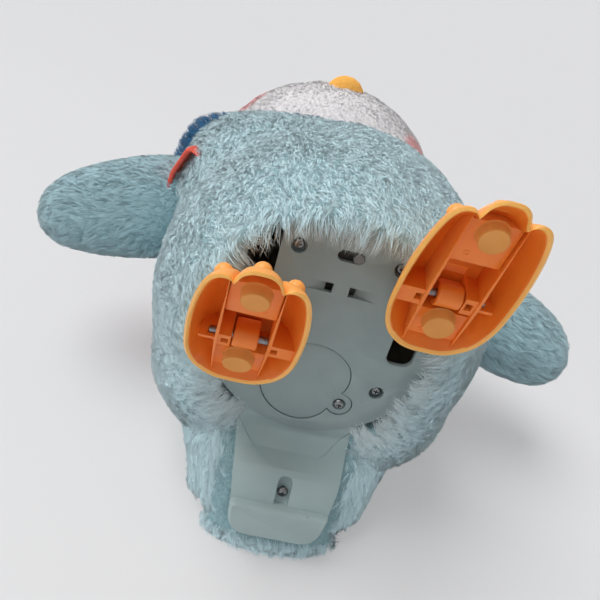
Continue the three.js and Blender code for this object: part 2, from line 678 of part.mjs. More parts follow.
function footShell() {
  const inner = footForm(foot.wall, over);
  const rib = (side) => block(
    side * foot.rib - foot.ribThick / 2, side * foot.rib + foot.ribThick / 2,
    -foot.toe, foot.heel, -foot.ribUnder, foot.instep,
  );
  const deck = (front, rear) => block(-foot.rib, foot.rib, front, rear, -foot.deck, foot.instep);
  const boss = (side) => block(
    side > 0 ? foot.rib : -ankle.halfPin - foot.wall, side > 0 ? ankle.halfPin + foot.wall : -foot.rib,
    -leg.knuckle + foot.wall / 2, leg.knuckle - foot.wall / 2, -leg.knuckle, foot.instep,
  );
  const fill = common(join(
    rib(1), rib(-1), boss(1), boss(-1),
    deck(-pad.frontAt - pad.radius, -pad.frontAt + pad.radius + foot.wall * 2),
    deck(leg.knuckle + run * 2, pad.rearAt + pad.radius + foot.wall),
  ), footForm(foot.wall / 2, 0));
  let shape = join(cut(footForm(0, 0), inner), fill);
  const swing = foot.instep + over;
  shape = cut(
    shape,
    profile([
      [-leg.knuckle - run * 3, -foot.rim], [leg.knuckle + run * 3, -foot.rim], [leg.knuckle + run * 3, 0],
      [foot.holeRear, swing], [-foot.holeFront, swing], [-leg.knuckle - run * 3, 0],
    ], -foot.holeHalf, foot.holeHalf),
    across(ankle.pin + gap / 2, -ankle.halfPin - gap, ankle.halfPin + gap, 0, 0),
  );
  for (const side of [1, -1]) {
    const from = foot.rib + foot.ribThick;
    const to = ankle.halfPin - gap;
    const [x0, x1] = side > 0 ? [from, to] : [-to, -from];
    shape = cut(shape, block(x0, x1, -ankle.pin, ankle.pin, -foot.rim, 0));
  }
  const back = claw.sink + claw.radius;
  const outer = foot.toe * sideClawShare;
  for (const [x, reach] of [[0, foot.toe], [claw.side, outer], [-claw.side, outer]]) {
    const nub = ball(x, back - reach, claw.reach, claw.radius, claw.radius, claw.radius, small);
    shape = join(shape, common(nub, outsideFoot()));
  }
  return shape;
}

// Everything outside the hollow of the foot, so that the claws stay on its skin
function outsideFoot() {
  return cut(
    block(-foot.halfWidth * 2, foot.halfWidth * 2, -foot.toe * 2, foot.heel * 2, -foot.rim, foot.instep * 3),
    footForm(foot.wall, over),
  );
}

const footPad = (y) => upright(pad.radius, 0, y, -ankle.height, -foot.deck - gap);

for (const [name, side] of [['left', 1], ['right', -1]]) {
  const lean = -side * rad(leg.lean);
  const ankleY = hip.y + legLength * Math.sin(lean);
  const legGroup = new THREE.Group();
  legGroup.position.set(side * leg.x, hip.y, hip.z);
  legGroup.rotation.x = lean;
  group.add(legGroup);
  part(`leg_${name}`, legShape(), 'orange', legGroup);

  const legOuter = side * (leg.x + leg.width / 2 + gap);
  const pinInner = side * (box.halfWidth - box.wall * 2);
  const pinHead = legOuter + side * hip.headThick;
  part(`hip_pin_${name}`, join(
    across(hip.pin, pinInner, legOuter, hip.y, hip.z),
    across(hip.head, legOuter, pinHead, hip.y, hip.z),
  ), 'steel');

  const footGroup = new THREE.Group();
  footGroup.position.set(side * leg.x, ankleY, ankle.height);
  footGroup.rotation.x = rad(hang[name]);
  group.add(footGroup);
  part(`foot_${name}`, footShell(), 'orange', footGroup);
  part(`front_pad_${name}`, footPad(-pad.frontAt), 'pad', footGroup);
  part(`heel_pad_${name}`, footPad(pad.rearAt), 'pad', footGroup);
  part(`ankle_pin_${name}`, across(ankle.pin, -ankle.halfPin, ankle.halfPin, 0, 0, small), 'steel', footGroup);
}

// Inner housing: two shells that carry the plush, seated on the base plate
// Each ring: share of the height, share of the full width, and how far it follows the plate's outline
const housingShares = [
  [0, 1, 1], [0.14, 1, 0.7], [0.34, 1, 0], [0.6, 0.99, 0], [0.74, 0.95, 0], [0.87, 0.85, 0], [0.96, 0.64, 0],
  [1, 0.4, 0],
];
function housingForm(grow = 0, drop = 0) {
  const low = plate.top + gap;
  const base = plateOutline(grow - housing.rim, shellSides);
  return loft(housingShares.map(([up, share, follow], i) => {
    const z = low - (i === 0 ? drop : 0) + (housing.top + grow - low) * up;
    const wide = ring(housing.halfWidth * share + grow, housing.halfDepth * share + grow, 0, z, 2, shellSides);
    return wide.map((p, k) => new THREE.Vector3(
      p.x + (base[k].x - p.x) * follow, p.y + (base[k].y - p.y) * follow, z,
    ));
  }));
}

function wingPinLug(y0, y1) {
  const lug = along(spar.hub, wing.x, y0, y1, wing.z);
  return join(lug, lug.mirror([1, 0, 0]));
}

function housingShell(rear) {
  const outer = housingForm();
  const inner = housingForm(-housing.wall, over);
  let shape = cut(outer, inner);
  const lugs = join(
    wingPinLug(wing.y - spar.halfPin - spar.lug, wing.y - spar.hub - run),
    wingPinLug(wing.y + spar.hub + run, wing.y + spar.halfPin + spar.lug),
  );
  const web = (y0, y1) => {
    const one = block(
      wing.x - spar.hub / 2, housing.halfWidth, y0, y1, wing.z - spar.halfThick, wing.z + spar.halfThick,
    );
    return join(one, one.mirror([1, 0, 0]));
  };
  const webs = join(
    web(wing.y - spar.halfPin - spar.lug, wing.y - spar.hub - run),
    web(wing.y + spar.hub + run, wing.y + spar.halfPin + spar.lug),
  );
  const speakerRing = cut(
    along(speaker.radius + speaker.ring, 0, speaker.y + speaker.thick + gap, housing.halfDepth, speaker.z),
    along(speaker.radius - speaker.ring, 0, speaker.y, housing.halfDepth * 2, speaker.z),
  );
  shape = join(shape, common(join(lugs, webs, speakerRing), outer));
  for (const side of [1, -1]) {
    const bossBottom = plate.top + well.rise + gap;
    const boss = cut(
      join(
        upright(well.bore, side * rearScrews.x, rearScrews.y, bossBottom, bossBottom + screw.length),
        block(
          side > 0 ? rearScrews.x : -housing.halfWidth, side > 0 ? housing.halfWidth : -rearScrews.x,
          rearScrews.y - housing.wall / 2, rearScrews.y + housing.wall / 2,
          bossBottom, bossBottom + screw.length,
        ),
      ),
      upright(screw.bore, side * rearScrews.x, rearScrews.y, 0, bossBottom + screw.length - housing.wall / 2),
    );
    const clear = spar.halfWidth + over;
    const pinReach = spar.halfPin + gap;
    shape = cut(
      join(shape, common(boss, outer)),
      along(spar.pin + gap / 2, side * wing.x, wing.y - pinReach, wing.y + pinReach, wing.z),
      block(
        side > 0 ? wing.x - spar.hub - run : -housing.halfWidth * 2,
        side > 0 ? housing.halfWidth * 2 : -wing.x + spar.hub + run,
        wing.y - spar.hub - run, wing.y + spar.hub + run, wing.z - clear, wing.z + clear,
      ),
    );
  }
  const size = housing.halfWidth * 2;
  const half = rear
    ? block(-size, size, housing.split + gap / 2, size, 0, size * 2)
    : block(-size, size, -size, housing.split - gap / 2, 0, size * 2);
  shape = common(shape, half);
  return cut(
    shape,
    tailForm(gap),
    profile(armSide(gap), -arm.halfWidth - gap, arm.halfWidth + gap),
    upright(door.radius + bay.flange + gap, bay.x, bay.y, 0, plate.top + bay.flangeHeight + gap, fine),
  );
}

part('housing_front', housingShell(false), 'white');
part('housing_rear', housingShell(true), 'white');
part('speaker', join(
  along(speaker.radius, 0, speaker.y + speaker.thick / 2, speaker.y + speaker.thick, speaker.z),
  along(speaker.radius / 2, 0, speaker.y, speaker.y + speaker.thick, speaker.z),
), 'black');

// Circuit board on posts over the battery bay
const boardUnder = bayTop + board.post;
const boardTop = boardUnder + board.thick;
function onBoard(halfWidth, halfDepth, top) {
  return block(bay.x - halfWidth, bay.x + halfWidth, bay.y - halfDepth, bay.y + halfDepth, boardUnder, top);
}

const postAt = board.halfDepth - board.post;
const posts = [[-1, -1], [-1, 1], [1, -1], [1, 1]].map(([i, j]) => upright(
  board.post / 2, bay.x + i * postAt, bay.y + j * postAt, bayTop + gap, boardUnder + gap,
));
part('circuit_board', join(
  onBoard(board.halfWidth, board.halfDepth, boardTop),
  onBoard(board.chip, board.chip, boardTop + board.chipHeight),
  ...posts,
), 'board');

// Plush forms
function bodyForm(grow = 0) {
  const levels = 11;
  const rings = [];
  for (let i = 0; i <= levels; i += 1) {
    const a = (Math.PI * (i + 1 / 2)) / (levels + 1);
    const lift = -Math.cos(a);
    const up = lift > 0;
    const power = up ? 2 : bodyLowPower;
    const height = up ? body.top - body.z : body.z - body.bottom;
    const share = (1 - Math.abs(lift) ** power) ** (1 / power);
    const z = body.z + lift * (height + grow);
    rings.push(ring(body.halfWidth * share + grow, body.halfDepth * share + grow, body.y, z));
  }
  return loft(rings);
}

function tailPlushForm() {
  const points = [];
  for (const form of [rump, tailPlush]) {
    const shape = new THREE.SphereGeometry(1, tailSides, tailSides / 2);
    shape.rotateX(Math.PI / 2);
    shape.scale(form.halfWidth, form.halfLength, form.halfHeight);
    shape.translate(0, form.y, form.z);
    for (let i = 0; i < shape.attributes.position.count; i += 1) {
      points.push(new THREE.Vector3().fromBufferAttribute(shape.attributes.position, i));
    }
  }
  return solid(new ConvexGeometry(points));
}

const place = (shape, side, droop) => {
  const turned = shape.rotate([0, droop, 0]).translate([wing.x, wing.y, wing.z]);
  return side > 0 ? turned : turned.mirror([1, 0, 0]);
};

function wingForm(grow = 0) {
  const reach = wing.length - wing.start;
  return loft(wingShares.map((share, i) => Array.from({ length: round }, (_, k) => {
    const a = (turn * k) / round;
    return new THREE.Vector3(
      wing.start + reach * share,
      (wingHalfThicks[i] + grow) * Math.cos(a),
      (wingHalfWidths[i] + grow) * Math.sin(a),
    );
  }))).rotate([0, 0, wing.sweep]);
}

// The spar: a flat blade with a hub that turns on the wing pin
function sparForm(grow = 0) {
  const thick = spar.hub / 2 + grow;
  const blade = (from, half) => block(from, spar.length + grow, -thick, thick, -half - grow, half + grow);
  return join(
    blade(0, spar.halfThick),
    blade(spar.length / 2, spar.halfWidth),
    along(spar.hub, 0, -spar.hub, spar.hub, 0),
  );
}

function swept(shape, side) {
  return join(
    place(shape, side, wing.droop),
    place(shape, side, wing.droop - wing.up / 2),
    place(shape, side, wing.droop - wing.up),
  );
}

const bodyWhole = bodyForm();
const bodyClear = bodyForm(run);
const headWhole = cut(ball(0, head.y, head.z, head.halfWidth, head.halfDepth, head.halfHeight), bodyForm(gap));
const headGrown = ball(0, head.y, head.z, head.halfWidth + gap, head.halfDepth + gap, head.halfHeight + gap);

// What the plush leaves free: the housing, the plate, the tail support and its arm
function clearOfChassis(shape) {
  return cut(
    shape,
    housingForm(skin, over * 2),
    prism(plateOutline(gap), -over, plate.top + gap * 2),
    tailForm(gap),
    prism(tailWidth(gap), -over, tail.stepZ),
    profile([
      [tail.front, 0], [tail.end, 0], [tail.end, tail.stepZ], [tail.pad, tail.stepZ + gap],
      [tail.bend, tail.bendZ + gap], [plate.rear + tail.thick, tail.under + gap], [tail.front, tail.under + gap],
    ], -tail.halfFront - gap, tail.halfFront + gap),
    profile(armSide(gap), -arm.halfWidth - gap, arm.halfWidth + gap),
    upright(screw.head + well.wall + gap, 0, recess.y, 0, tail.bendZ + screw.length + gap),
    recessForm(recess.wall + gap, 0, tail.stepZ + recess.depth + recess.wall + gap),
  );
}

function bodyPlush() {
  const size = body.halfWidth * 2;
  const shape = clearOfChassis(cut(bodyWhole, block(-size, size, -size, size, -size, body.hem)));
  // A channel for each wing's spar, tall enough for its swing
  const reach = body.halfWidth - wing.x;
  const low = wing.z - reach * Math.sin(rad(wing.droop)) - spar.halfThick * 2;
  const high = wing.z + reach * Math.sin(rad(wing.up - wing.droop)) + spar.halfThick * 2;
  const hub = along(spar.hub + over, wing.x, wing.y - spar.hub - over, wing.y + spar.hub + over, wing.z);
  return cut(
    shape, hub, hub.mirror([1, 0, 0]),
    block(
      -body.halfWidth * 2, body.halfWidth * 2,
      wing.y - spar.hub / 2 - over, wing.y + spar.hub / 2 + over, low, high,
    ),
  );
}

part('body_plush', bodyPlush(), 'plush');
part('tail_plush', clearOfChassis(cut(tailPlushForm(), bodyForm(gap))), 'plush');

for (const [name, side] of [['left', 1], ['right', -1]]) {
  const pin = along(spar.pin, side * wing.x, wing.y - spar.halfPin, wing.y + spar.halfPin, wing.z, small);
  part(`wing_pin_${name}`, pin, 'steel');
  const bare = cut(sparForm(), along(spar.pin + run, 0, -spar.hub * 2, spar.hub * 2, 0));
  part(`wing_spar_${name}`, place(bare, side, wing.droop), 'white');
  // The wing is cut clear of the body at rest and at both ends of its swing
  let shape = wingForm();
  for (const droop of [wing.droop, wing.droop - wing.up]) {
    const back = bodyClear.translate([-wing.x, -wing.y, -wing.z]).rotate([0, -droop, 0]);
    shape = cut(shape, back);
  }
  shape = cut(shape, sparForm(gap));
  part(`wing_plush_${name}`, place(shape, side, wing.droop), 'plush');
}

// Head, face and what is sewn on them
function facePlane(front) {
  const size = head.halfWidth * 2;
  const slab = front
    ? block(-size, size, -size * 2, -gap / 2, -size * 2, size * 2)
    : block(-size, size, gap / 2, size * 2, -size * 2, size * 2);
  return slab.rotate([hood.tilt, 0, 0]).translate([0, hood.y + head.y, head.z]);
}

part('face_plush', common(headWhole, facePlane(true)), 'face');
part('hood_plush', common(headWhole, facePlane(false)), 'plush');
const beakY = head.y - head.halfDepth + beak.sink;
const beakForm = ball(0, beakY - beak.sink, beak.z, beak.halfWidth, beak.halfDepth, beak.halfHeight, round);
part('beak', cut(beakForm, headGrown), 'beak');
for (const [name, side] of [['left', 1], ['right', -1]]) {
  const up = (eye.z - head.z) / head.halfHeight;
  const out = eye.x / head.halfWidth;
  const y = head.y - head.halfDepth * Math.sqrt(1 - up * up - out * out);
  const bead = ball(side * eye.x, y, eye.z, eye.radius, eye.proud, eye.radius, round / 2);
  part(`eye_${name}`, cut(bead, headGrown), 'black');
}

// Fluffy collar in the crease of the neck, and the short cloth vest under it
function collarForm(grow = 0) {
  const shape = new THREE.TorusGeometry(collar.radius, collar.tube + grow, round / 2, fine);
  shape.scale(1, (head.halfDepth / head.halfWidth), 1);
  shape.translate(0, (head.y + body.y) / 2, collar.z);
  return solid(shape);
}

const bothWings = [swept(wingForm(run), 1), swept(wingForm(run), -1)];
part('neck_collar', cut(collarForm(), headGrown, bodyForm(gap), ...bothWings), 'navy');

function vestShape() {
  const size = body.halfWidth * 2;
  let shape = cut(bodyForm(gap + vest.thick), bodyForm(gap));
  shape = common(shape, block(-size, size, -size, size, vest.bottom, collar.z + collar.tube));
  return cut(
    shape,
    block(-vest.open, vest.open, -size, vest.frontTo, 0, size * 2),
    collarForm(gap), headGrown, ...bothWings,
  );
}

part('vest', cut(vestShape(), tailPlushForm()), 'coral');

// The origin goes under the middle of the whole toy, level with the hanging toes
const bounds = new THREE.Box3().setFromObject(group, true);
group.position.y = -(bounds.min.y + bounds.max.y) / 2;
group.position.z = -bounds.min.z;

export default group;
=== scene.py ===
# %% [markdown]
# A walking toy penguin, seen from below as it lies on its back. The chassis is plastic: a base
# plate, a tail support and two hollow feet. Everything else is plush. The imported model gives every
# piece its place, and this lesson gives each one its looks.

# %% Load the model
import json
import math
from itertools import product

import bpy
import numpy as np
from mathutils import Matrix, Vector, kdtree

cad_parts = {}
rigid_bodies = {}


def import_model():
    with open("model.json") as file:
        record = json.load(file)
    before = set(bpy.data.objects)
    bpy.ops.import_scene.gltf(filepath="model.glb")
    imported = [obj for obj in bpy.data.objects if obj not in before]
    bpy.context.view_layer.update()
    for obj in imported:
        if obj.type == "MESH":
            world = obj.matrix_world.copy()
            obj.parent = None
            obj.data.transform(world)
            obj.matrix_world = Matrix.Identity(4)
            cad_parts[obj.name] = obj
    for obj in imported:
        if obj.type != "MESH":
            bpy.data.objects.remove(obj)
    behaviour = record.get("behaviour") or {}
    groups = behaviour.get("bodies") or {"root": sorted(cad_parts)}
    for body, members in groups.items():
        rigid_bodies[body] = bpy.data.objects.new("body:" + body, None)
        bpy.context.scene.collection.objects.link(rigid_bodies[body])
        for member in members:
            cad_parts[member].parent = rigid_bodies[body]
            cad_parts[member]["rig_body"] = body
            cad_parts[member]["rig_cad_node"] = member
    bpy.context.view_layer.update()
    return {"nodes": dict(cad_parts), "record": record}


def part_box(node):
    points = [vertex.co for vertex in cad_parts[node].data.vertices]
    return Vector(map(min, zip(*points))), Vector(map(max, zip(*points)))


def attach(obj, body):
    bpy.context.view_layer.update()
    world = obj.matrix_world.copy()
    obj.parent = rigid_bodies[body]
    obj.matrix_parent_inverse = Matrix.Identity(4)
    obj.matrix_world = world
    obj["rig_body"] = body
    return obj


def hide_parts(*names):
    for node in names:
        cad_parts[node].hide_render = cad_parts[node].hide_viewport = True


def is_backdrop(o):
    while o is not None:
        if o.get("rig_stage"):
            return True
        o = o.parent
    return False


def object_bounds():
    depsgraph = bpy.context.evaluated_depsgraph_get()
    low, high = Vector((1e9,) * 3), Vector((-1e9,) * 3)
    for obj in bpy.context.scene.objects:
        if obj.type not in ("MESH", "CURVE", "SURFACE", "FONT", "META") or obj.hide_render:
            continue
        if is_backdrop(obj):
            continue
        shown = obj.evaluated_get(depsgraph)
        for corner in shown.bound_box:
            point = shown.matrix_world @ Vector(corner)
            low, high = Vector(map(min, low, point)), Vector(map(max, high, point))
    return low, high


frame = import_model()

mm = 0.001

# %% [markdown]
# Sizes are written in the toy's own millimetres: x from its middle, y from a line 5 mm behind the
# middle of its base plate, z from the foot of its tail support. The box of the tail support in the
# model says where that lies.

# %% The toy's own millimetres
tail_low, tail_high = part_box("tail_support")
tail_end = 94  # the y of its rear edge
set_back = tail_high.y - tail_end * mm
lift = tail_low.z


def at(x, y, z):
    """A place in the toy's millimetres, as a point of the scene."""
    return Vector((x * mm, y * mm + set_back, z * mm + lift))


shift = np.array(at(0, 0, 0))
print("the toy's zero lies at", [round(v / mm, 2) for v in shift])

# %% [markdown]
# The camera stands in front of the feet and below them, and looks up at the base plate. Its three
# directions were worked out from the plate, the tail support and the feet in the photograph.

# %% Camera
eye_place = at(-42.34, -132.33, -187.65)
eye_right = Vector((0.96676, -0.25524, 0.01495))
eye_up = Vector((-0.23085, -0.84622, 0.48023))
eye_ahead = Vector((0.10992, 0.46772, 0.87701))
field = 2 * math.atan(1 / 2)  # the view is as wide as the distance to it

bpy.ops.object.camera_add(location=eye_place)
camera = bpy.context.object
camera.data.angle = field
camera.data.clip_end = 20  # metres, beyond the table
aim = Matrix((eye_right, eye_up, -eye_ahead)).transposed().to_4x4()
camera.matrix_world = Matrix.Translation(eye_place) @ aim
bpy.context.scene.camera = camera
print("lens", round(camera.data.lens, 2))

# %% [markdown]
# A finish is wired in Python: a Value stands for what a node gives out, and sums on it add Math
# nodes. Colours are written as they look on a screen and turned into light once.

# %% Finishes
def seen(red, green, blue):
    """A colour as a screen shows it, from 0 to 255, as the shader wants it."""
    parts = [c / 255 for c in (red, green, blue)]
    return tuple(c / 12.92 if c <= 0.04045 else ((c + 0.055) / 1.055) ** 2.4 for c in parts) + (1,)


class Value:
    """What a node gives out. Python's signs on it add Math nodes."""

    def __init__(self, finish, socket):
        self.finish, self.socket = finish, socket

    def sum(self, operation, *others):
        inputs = dict(enumerate(others))
        return self.finish.node("Math", {"operation": operation}, inputs)

    def __add__(self, other):
        return self.sum("ADD", self, other)

    __radd__ = __add__

    def __sub__(self, other):
        return self.sum("SUBTRACT", self, other)

    def __mul__(self, other):
        return self.sum("MULTIPLY", self, other)

    __rmul__ = __mul__

    def between(self, low, high):
        """0 below low, 1 above high, smooth in between."""
        inputs = {0: self, 1: low, 2: high, 3: 0.0, 4: 1.0}
        return self.finish.node("MapRange", {"interpolation_type": "SMOOTHSTEP"}, inputs)


class Finish:
    """A material that is being wired."""

    def __init__(self, name):
        self.material = bpy.data.materials.new(name)
        self.material.use_nodes = True
        self.tree = self.material.node_tree
        self.tree.nodes.clear()
        self.place = self.node("TexCoord", out="Object")

    def node(self, kind, settings=None, inputs=None, out=0):
        made = self.tree.nodes.new("ShaderNode" + kind)
        for key, value in (settings or {}).items():
            setattr(made, key, value)
        for key, value in (inputs or {}).items():
            if isinstance(value, Value):
                self.tree.links.new(value.socket, made.inputs[key])
            else:
                made.inputs[key].default_value = value
        return Value(self, made.outputs[out])

    def mix(self, share, first, second, blend="MIX"):
        settings = {"data_type": "RGBA", "blend_type": blend}
        return self.node("Mix", settings, {0: share, 6: first, 7: second}, out=2)

    def noise(self, per_metre, detail=2.0):
        inputs = {"Vector": self.place, "Scale": per_metre, "Detail": detail}
        return self.node("TexNoise", {}, inputs)

    def parts(self, vector):
        split = self.node("SeparateXYZ", {}, {0: vector})
        outputs = split.socket.node.outputs
        return [Value(self, outputs[i]) for i in range(3)]

    def bump(self, height, strength, distance):
        inputs = {"Height": height, "Strength": strength, "Distance": distance}
        return self.node("Bump", {}, inputs)

    def close(self, colour, roughness, normal=None, **fixed):
        """Ends the finish with one shader. fixed sets sockets that are the same all over."""
        inputs = {"Base Color": colour, "Roughness": roughness}
        if normal:
            inputs["Normal"] = normal
        for key, value in fixed.items():
            inputs[key.replace("_", " ")] = value
        return self.surface(self.node("BsdfPrincipled", {}, inputs))

    def surface(self, shader):
        output = self.tree.nodes.new("ShaderNodeOutputMaterial")
        self.tree.links.new(shader.socket, output.inputs["Surface"])
        return self.material


print("finishes can be wired")

# %% [markdown]
# The toy lies on a pale table, which touches the plush of its tail. The table is one plane, and
# part of what the camera sees of it is its own glow, so that it stays pale in the toy's shade.
# Seen from behind it lets the view through, so that it hides nothing. The light of a bright room
# comes from five wide, distant lamps, of which the one over the belly is by far the strongest.

# %% Table and lamps
table_lean = math.radians(11.5)  # from upright, which is flat for the lying toy
table_normal = Vector((0, -math.cos(table_lean), -math.sin(table_lean)))
table_touch = at(0, 103, 24)
bpy.ops.mesh.primitive_plane_add(size=6, location=table_touch)
table = bpy.context.object
table.name = "table"
table.rotation_mode = "QUATERNION"
table.rotation_quaternion = table_normal.to_track_quat("Z", "Y")
table.visible_shadow = False
table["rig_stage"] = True

own_glow = 0.4  # the share of the table's looks that needs no lamp
pale = Finish("pale_table")
across, up_down, _ = pale.parts(pale.place)
cloudy = pale.noise(2).between(0.3, 0.7)
# Painted shade: the table's colours darken across it and towards one side, with a slow clouding, as the
# room's light dims
painted_falloff = (up_down * 0.5 + across * 0.35 + 0.05 * cloudy).between(-0.35, 0.3)
lit_shade = pale.mix(painted_falloff, seen(232, 232, 232), seen(220, 220, 222))
plain_shade = pale.mix(painted_falloff, seen(223, 223, 223), seen(210, 210, 211))
lit_table = pale.node("BsdfDiffuse", {}, {"Color": lit_shade})
plain_table = pale.node("Emission", {}, {"Color": plain_shade})
seen_by_camera = pale.node("LightPath", out="Is Camera Ray")
glow = seen_by_camera * own_glow
table_shader = pale.node("MixShader", {}, {0: glow, 1: lit_table, 2: plain_table})
clear = pale.node("BsdfTransparent")
behind = pale.node("NewGeometry", out="Backfacing")
one_sided = pale.node("MixShader", {}, {0: behind, 1: table_shader, 2: clear})
table.data.materials.append(pale.surface(one_sided))

world = bpy.data.worlds.new("pale_room")
bpy.context.scene.world = world
world.use_nodes = True
room = world.node_tree.nodes["Background"]
room.inputs["Color"].default_value = seen(238, 239, 241)
room.inputs["Strength"].default_value = 0.36

for name, towards, strength, spread in (
    ("lamp_over_belly", (-0.5, -1, 0.02), 2.3, 40),
    ("lamp_at_feet", (-0.3, -0.5, -1), 0.4, 80),
    ("lamp_at_right_wing", (-1, -0.4, 0.3), 0.2, 90),
    ("lamp_at_left_wing", (1, -0.4, 0.3), 0.15, 90),
    ("lamp_over_head", (0, -0.6, 1), 0.4, 90),
):
    bpy.ops.object.light_add(type="SUN", location=at(0, 0, 110))
    lamp = bpy.context.object
    lamp.name = name
    lamp.rotation_mode = "QUATERNION"
    lamp.rotation_quaternion = Vector(towards).to_track_quat("Z", "Y")
    lamp.data.energy = strength
    lamp.data.angle = math.radians(spread)
    lamp.data.cycles.use_multiple_importance_sampling = False
bpy.context.scene.view_settings.view_transform = "Standard"
print("table, room and five lamps")

# %% [markdown]
# The plastics are moulded: nearly one colour, with a fine grain that breaks the gloss, and a
# slight clouding. The orange of the feet has painted light and shade: its rims are painted paler
# and its outsides partly so, as lit, and its hollows keep a deeper, redder orange as painted shade,
# for the light that goes from wall to wall there.

# %% Plastics
def moulded(name, colour, darker, roughness, grain=0.05, paint=None, **fixed):
    finish = Finish(name)
    clouds = finish.noise(60, 3).between(0.3, 0.75)
    fine_grain = finish.noise(2600, 2)
    tint = finish.mix(clouds, seen(*darker), seen(*colour))
    if paint:
        tint = paint(finish, tint)
    rough = roughness + fine_grain * 0.12
    return finish.close(tint, rough, finish.bump(fine_grain, grain, 0.0004), **fixed)


def painted_lit_rims(finish, tint):
    rim = finish.node("Attribute", {"attribute_name": "rim"}, out="Fac")
    # Painted light: the rim and outside faces of the feet are mixed towards this pale orange, as lit
    return finish.mix(rim, tint, seen(252, 186, 94))


plastics = {looks[0]: moulded(*looks) for looks in (
    ("base_plastic", (143, 158, 158), (137, 152, 153), 0.42),
    ("tail_plastic", (163, 182, 182), (158, 177, 178), 0.42),
    ("orange_plastic", (243, 131, 42), (238, 122, 34), 0.36, 0.03, painted_lit_rims),
    ("orange_pad", (228, 154, 76), (220, 145, 66), 0.62, 0.08),
    ("grey_plastic", (118, 122, 122), (110, 114, 115), 0.5),
    ("black_plastic", (34, 34, 35), (28, 28, 30), 0.5),
    ("white_plastic", (205, 206, 200), (198, 199, 194), 0.45),
    ("circuit_green", (44, 100, 66), (38, 92, 60), 0.4),
    ("cell_wrap", (52, 66, 77), (46, 58, 70), 0.3),
)}
plastics["eye_black"] = moulded("eye_black", (16, 16, 18), (12, 12, 14), 0.12, 0.0, Coat_Weight=0.6)
metal = Finish("steel")
scratches = metal.noise(900, 4)
steel_tint = metal.mix(scratches.between(0.35, 0.7), seen(122, 124, 126), seen(158, 160, 162))
plastics["steel"] = metal.close(
    steel_tint, 0.24 + scratches * 0.2, metal.bump(scratches, 0.1, 0.0002), Metallic=1.0,
)

slots = {part["node"]: part["material_slot"] for part in frame["record"]["subparts"]}
for name, node in frame["nodes"].items():
    if slots[name] in plastics:
        node.data.materials.clear()
        node.data.materials.append(plastics[slots[name]])
print("finished", sum(slots[n] in plastics for n in frame["nodes"]), "nodes of plastic and steel")

# %% [markdown]
# The moulded pieces are all made in one way. A rising skin is a circle that is extruded level by
# level, and each level is then moved to its place: that gives outlines that change on their way
# up. Slabs, round pieces and drums are its plain cases. Cutters are taken away with the Boolean
# modifier. Last, a fine bevel breaks the edges, as a mould does, so that they catch the light.

# %% Ways to make a moulded piece
turn = 2 * math.pi
gap = 0.3  # between pieces that fit into each other


def only(piece):
    """Makes a piece the one selected and active object."""
    bpy.ops.object.select_all(action="DESELECT")
    piece.select_set(True)
    bpy.context.view_layer.objects.active = piece


def modified(piece, kind, **settings):
    """Adds a modifier and applies it."""
    modifier = piece.modifiers.new(kind, kind)
    for key, value in settings.items():
        setattr(modifier, key, value)
    only(piece)
    bpy.ops.object.modifier_apply(modifier=modifier.name)
    return piece


def edited(piece, operator, **settings):
    """Runs an operator of edit mode on the whole piece."""
    only(piece)
    bpy.ops.object.mode_set(mode="EDIT")
    bpy.ops.mesh.select_all(action="SELECT")
    operator(**settings)
    bpy.ops.object.mode_set(mode="OBJECT")
    return piece


def rising(rings):
    """A closed skin over rings of points (x, y, z) in the toy's millimetres."""
    count = len(rings[0])
    bpy.ops.object.select_all(action="DESELECT")
    bpy.ops.mesh.primitive_circle_add(vertices=count, radius=1, fill_type="NGON")
    piece = bpy.context.object
    bpy.ops.object.mode_set(mode="EDIT")
    bpy.ops.mesh.select_all(action="SELECT")
    for _ in rings[1:]:
        bpy.ops.mesh.extrude_region_move(TRANSFORM_OT_translate={"value": (0, 0, 1)})
    bpy.ops.object.mode_set(mode="OBJECT")
    for vertex in piece.data.vertices:
        nth = round(math.atan2(vertex.co.y, vertex.co.x) / turn * count) % count
        vertex.co = at(*rings[round(vertex.co.z)][nth])
    return edited(piece, bpy.ops.mesh.normals_make_consistent, inside=False)


def levels(outline, edge):
    """A piece whose outline grows by so much at each level."""
    return rising([[(x, y, z) for x, y in outline(grow)] for grow, z in edge])


def slab(outline, low, high):
    return rising([[(x, y, z) for x, y in outline] for z in (low, high)])


def side_slab(outline, left, right):
    """An outline in y and z, carried across."""
    return rising([[(x, y, z) for y, z in outline] for x in (left, right)])


def circle(sides):
    return [(math.cos(turn * i / sides), math.sin(turn * i / sides)) for i in range(sides)]


def lathed(profile, x=0, y=0, sides=48):
    """An upright round piece. profile gives its radius at each height."""
    return rising([[(x + r * c, y + r * s, z) for c, s in circle(sides)] for r, z in profile])


def drum(radius, x, y, low, high, sides=48):
    return lathed([(radius, low), (radius, high)], x, y, sides)


def combine(piece, operation, *others):
    """Cuts, joins or intersects with other solids, which are used up."""
    for other in others:
        modified(piece, "BOOLEAN", operation=operation, solver="EXACT", object=other)
        bpy.data.objects.remove(other)
    return piece


def cut(piece, *others):
    return combine(piece, "DIFFERENCE", *others)


def merged(piece, *others):
    """Makes several pieces one object, without changing their shapes."""
    bpy.ops.object.select_all(action="DESELECT")
    for other in (piece, *others):
        other.select_set(True)
    bpy.context.view_layer.objects.active = piece
    bpy.ops.object.join()
    return piece


def broken_edges(piece, width=0.25, angle=35, segments=2):
    modified(piece, "BEVEL", width=width * mm, segments=segments, limit_method="ANGLE",
             angle_limit=math.radians(angle), use_clamp_overlap=True)
    return smooth(piece)


def smooth(piece, angle=35):
    only(piece)
    bpy.ops.object.shade_smooth_by_angle(angle=math.radians(angle))
    return piece


def fit(piece, name, body, slot, *stands_for):
    """Gives a finished piece its name, its finish and its body, and hides the nodes that it stands for."""
    piece.name = name
    piece.data.materials.clear()
    piece.data.materials.append(plastics[slot])
    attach(piece, body)
    if stands_for:
        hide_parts(*stands_for)
    print(name, len(piece.data.polygons), "faces")


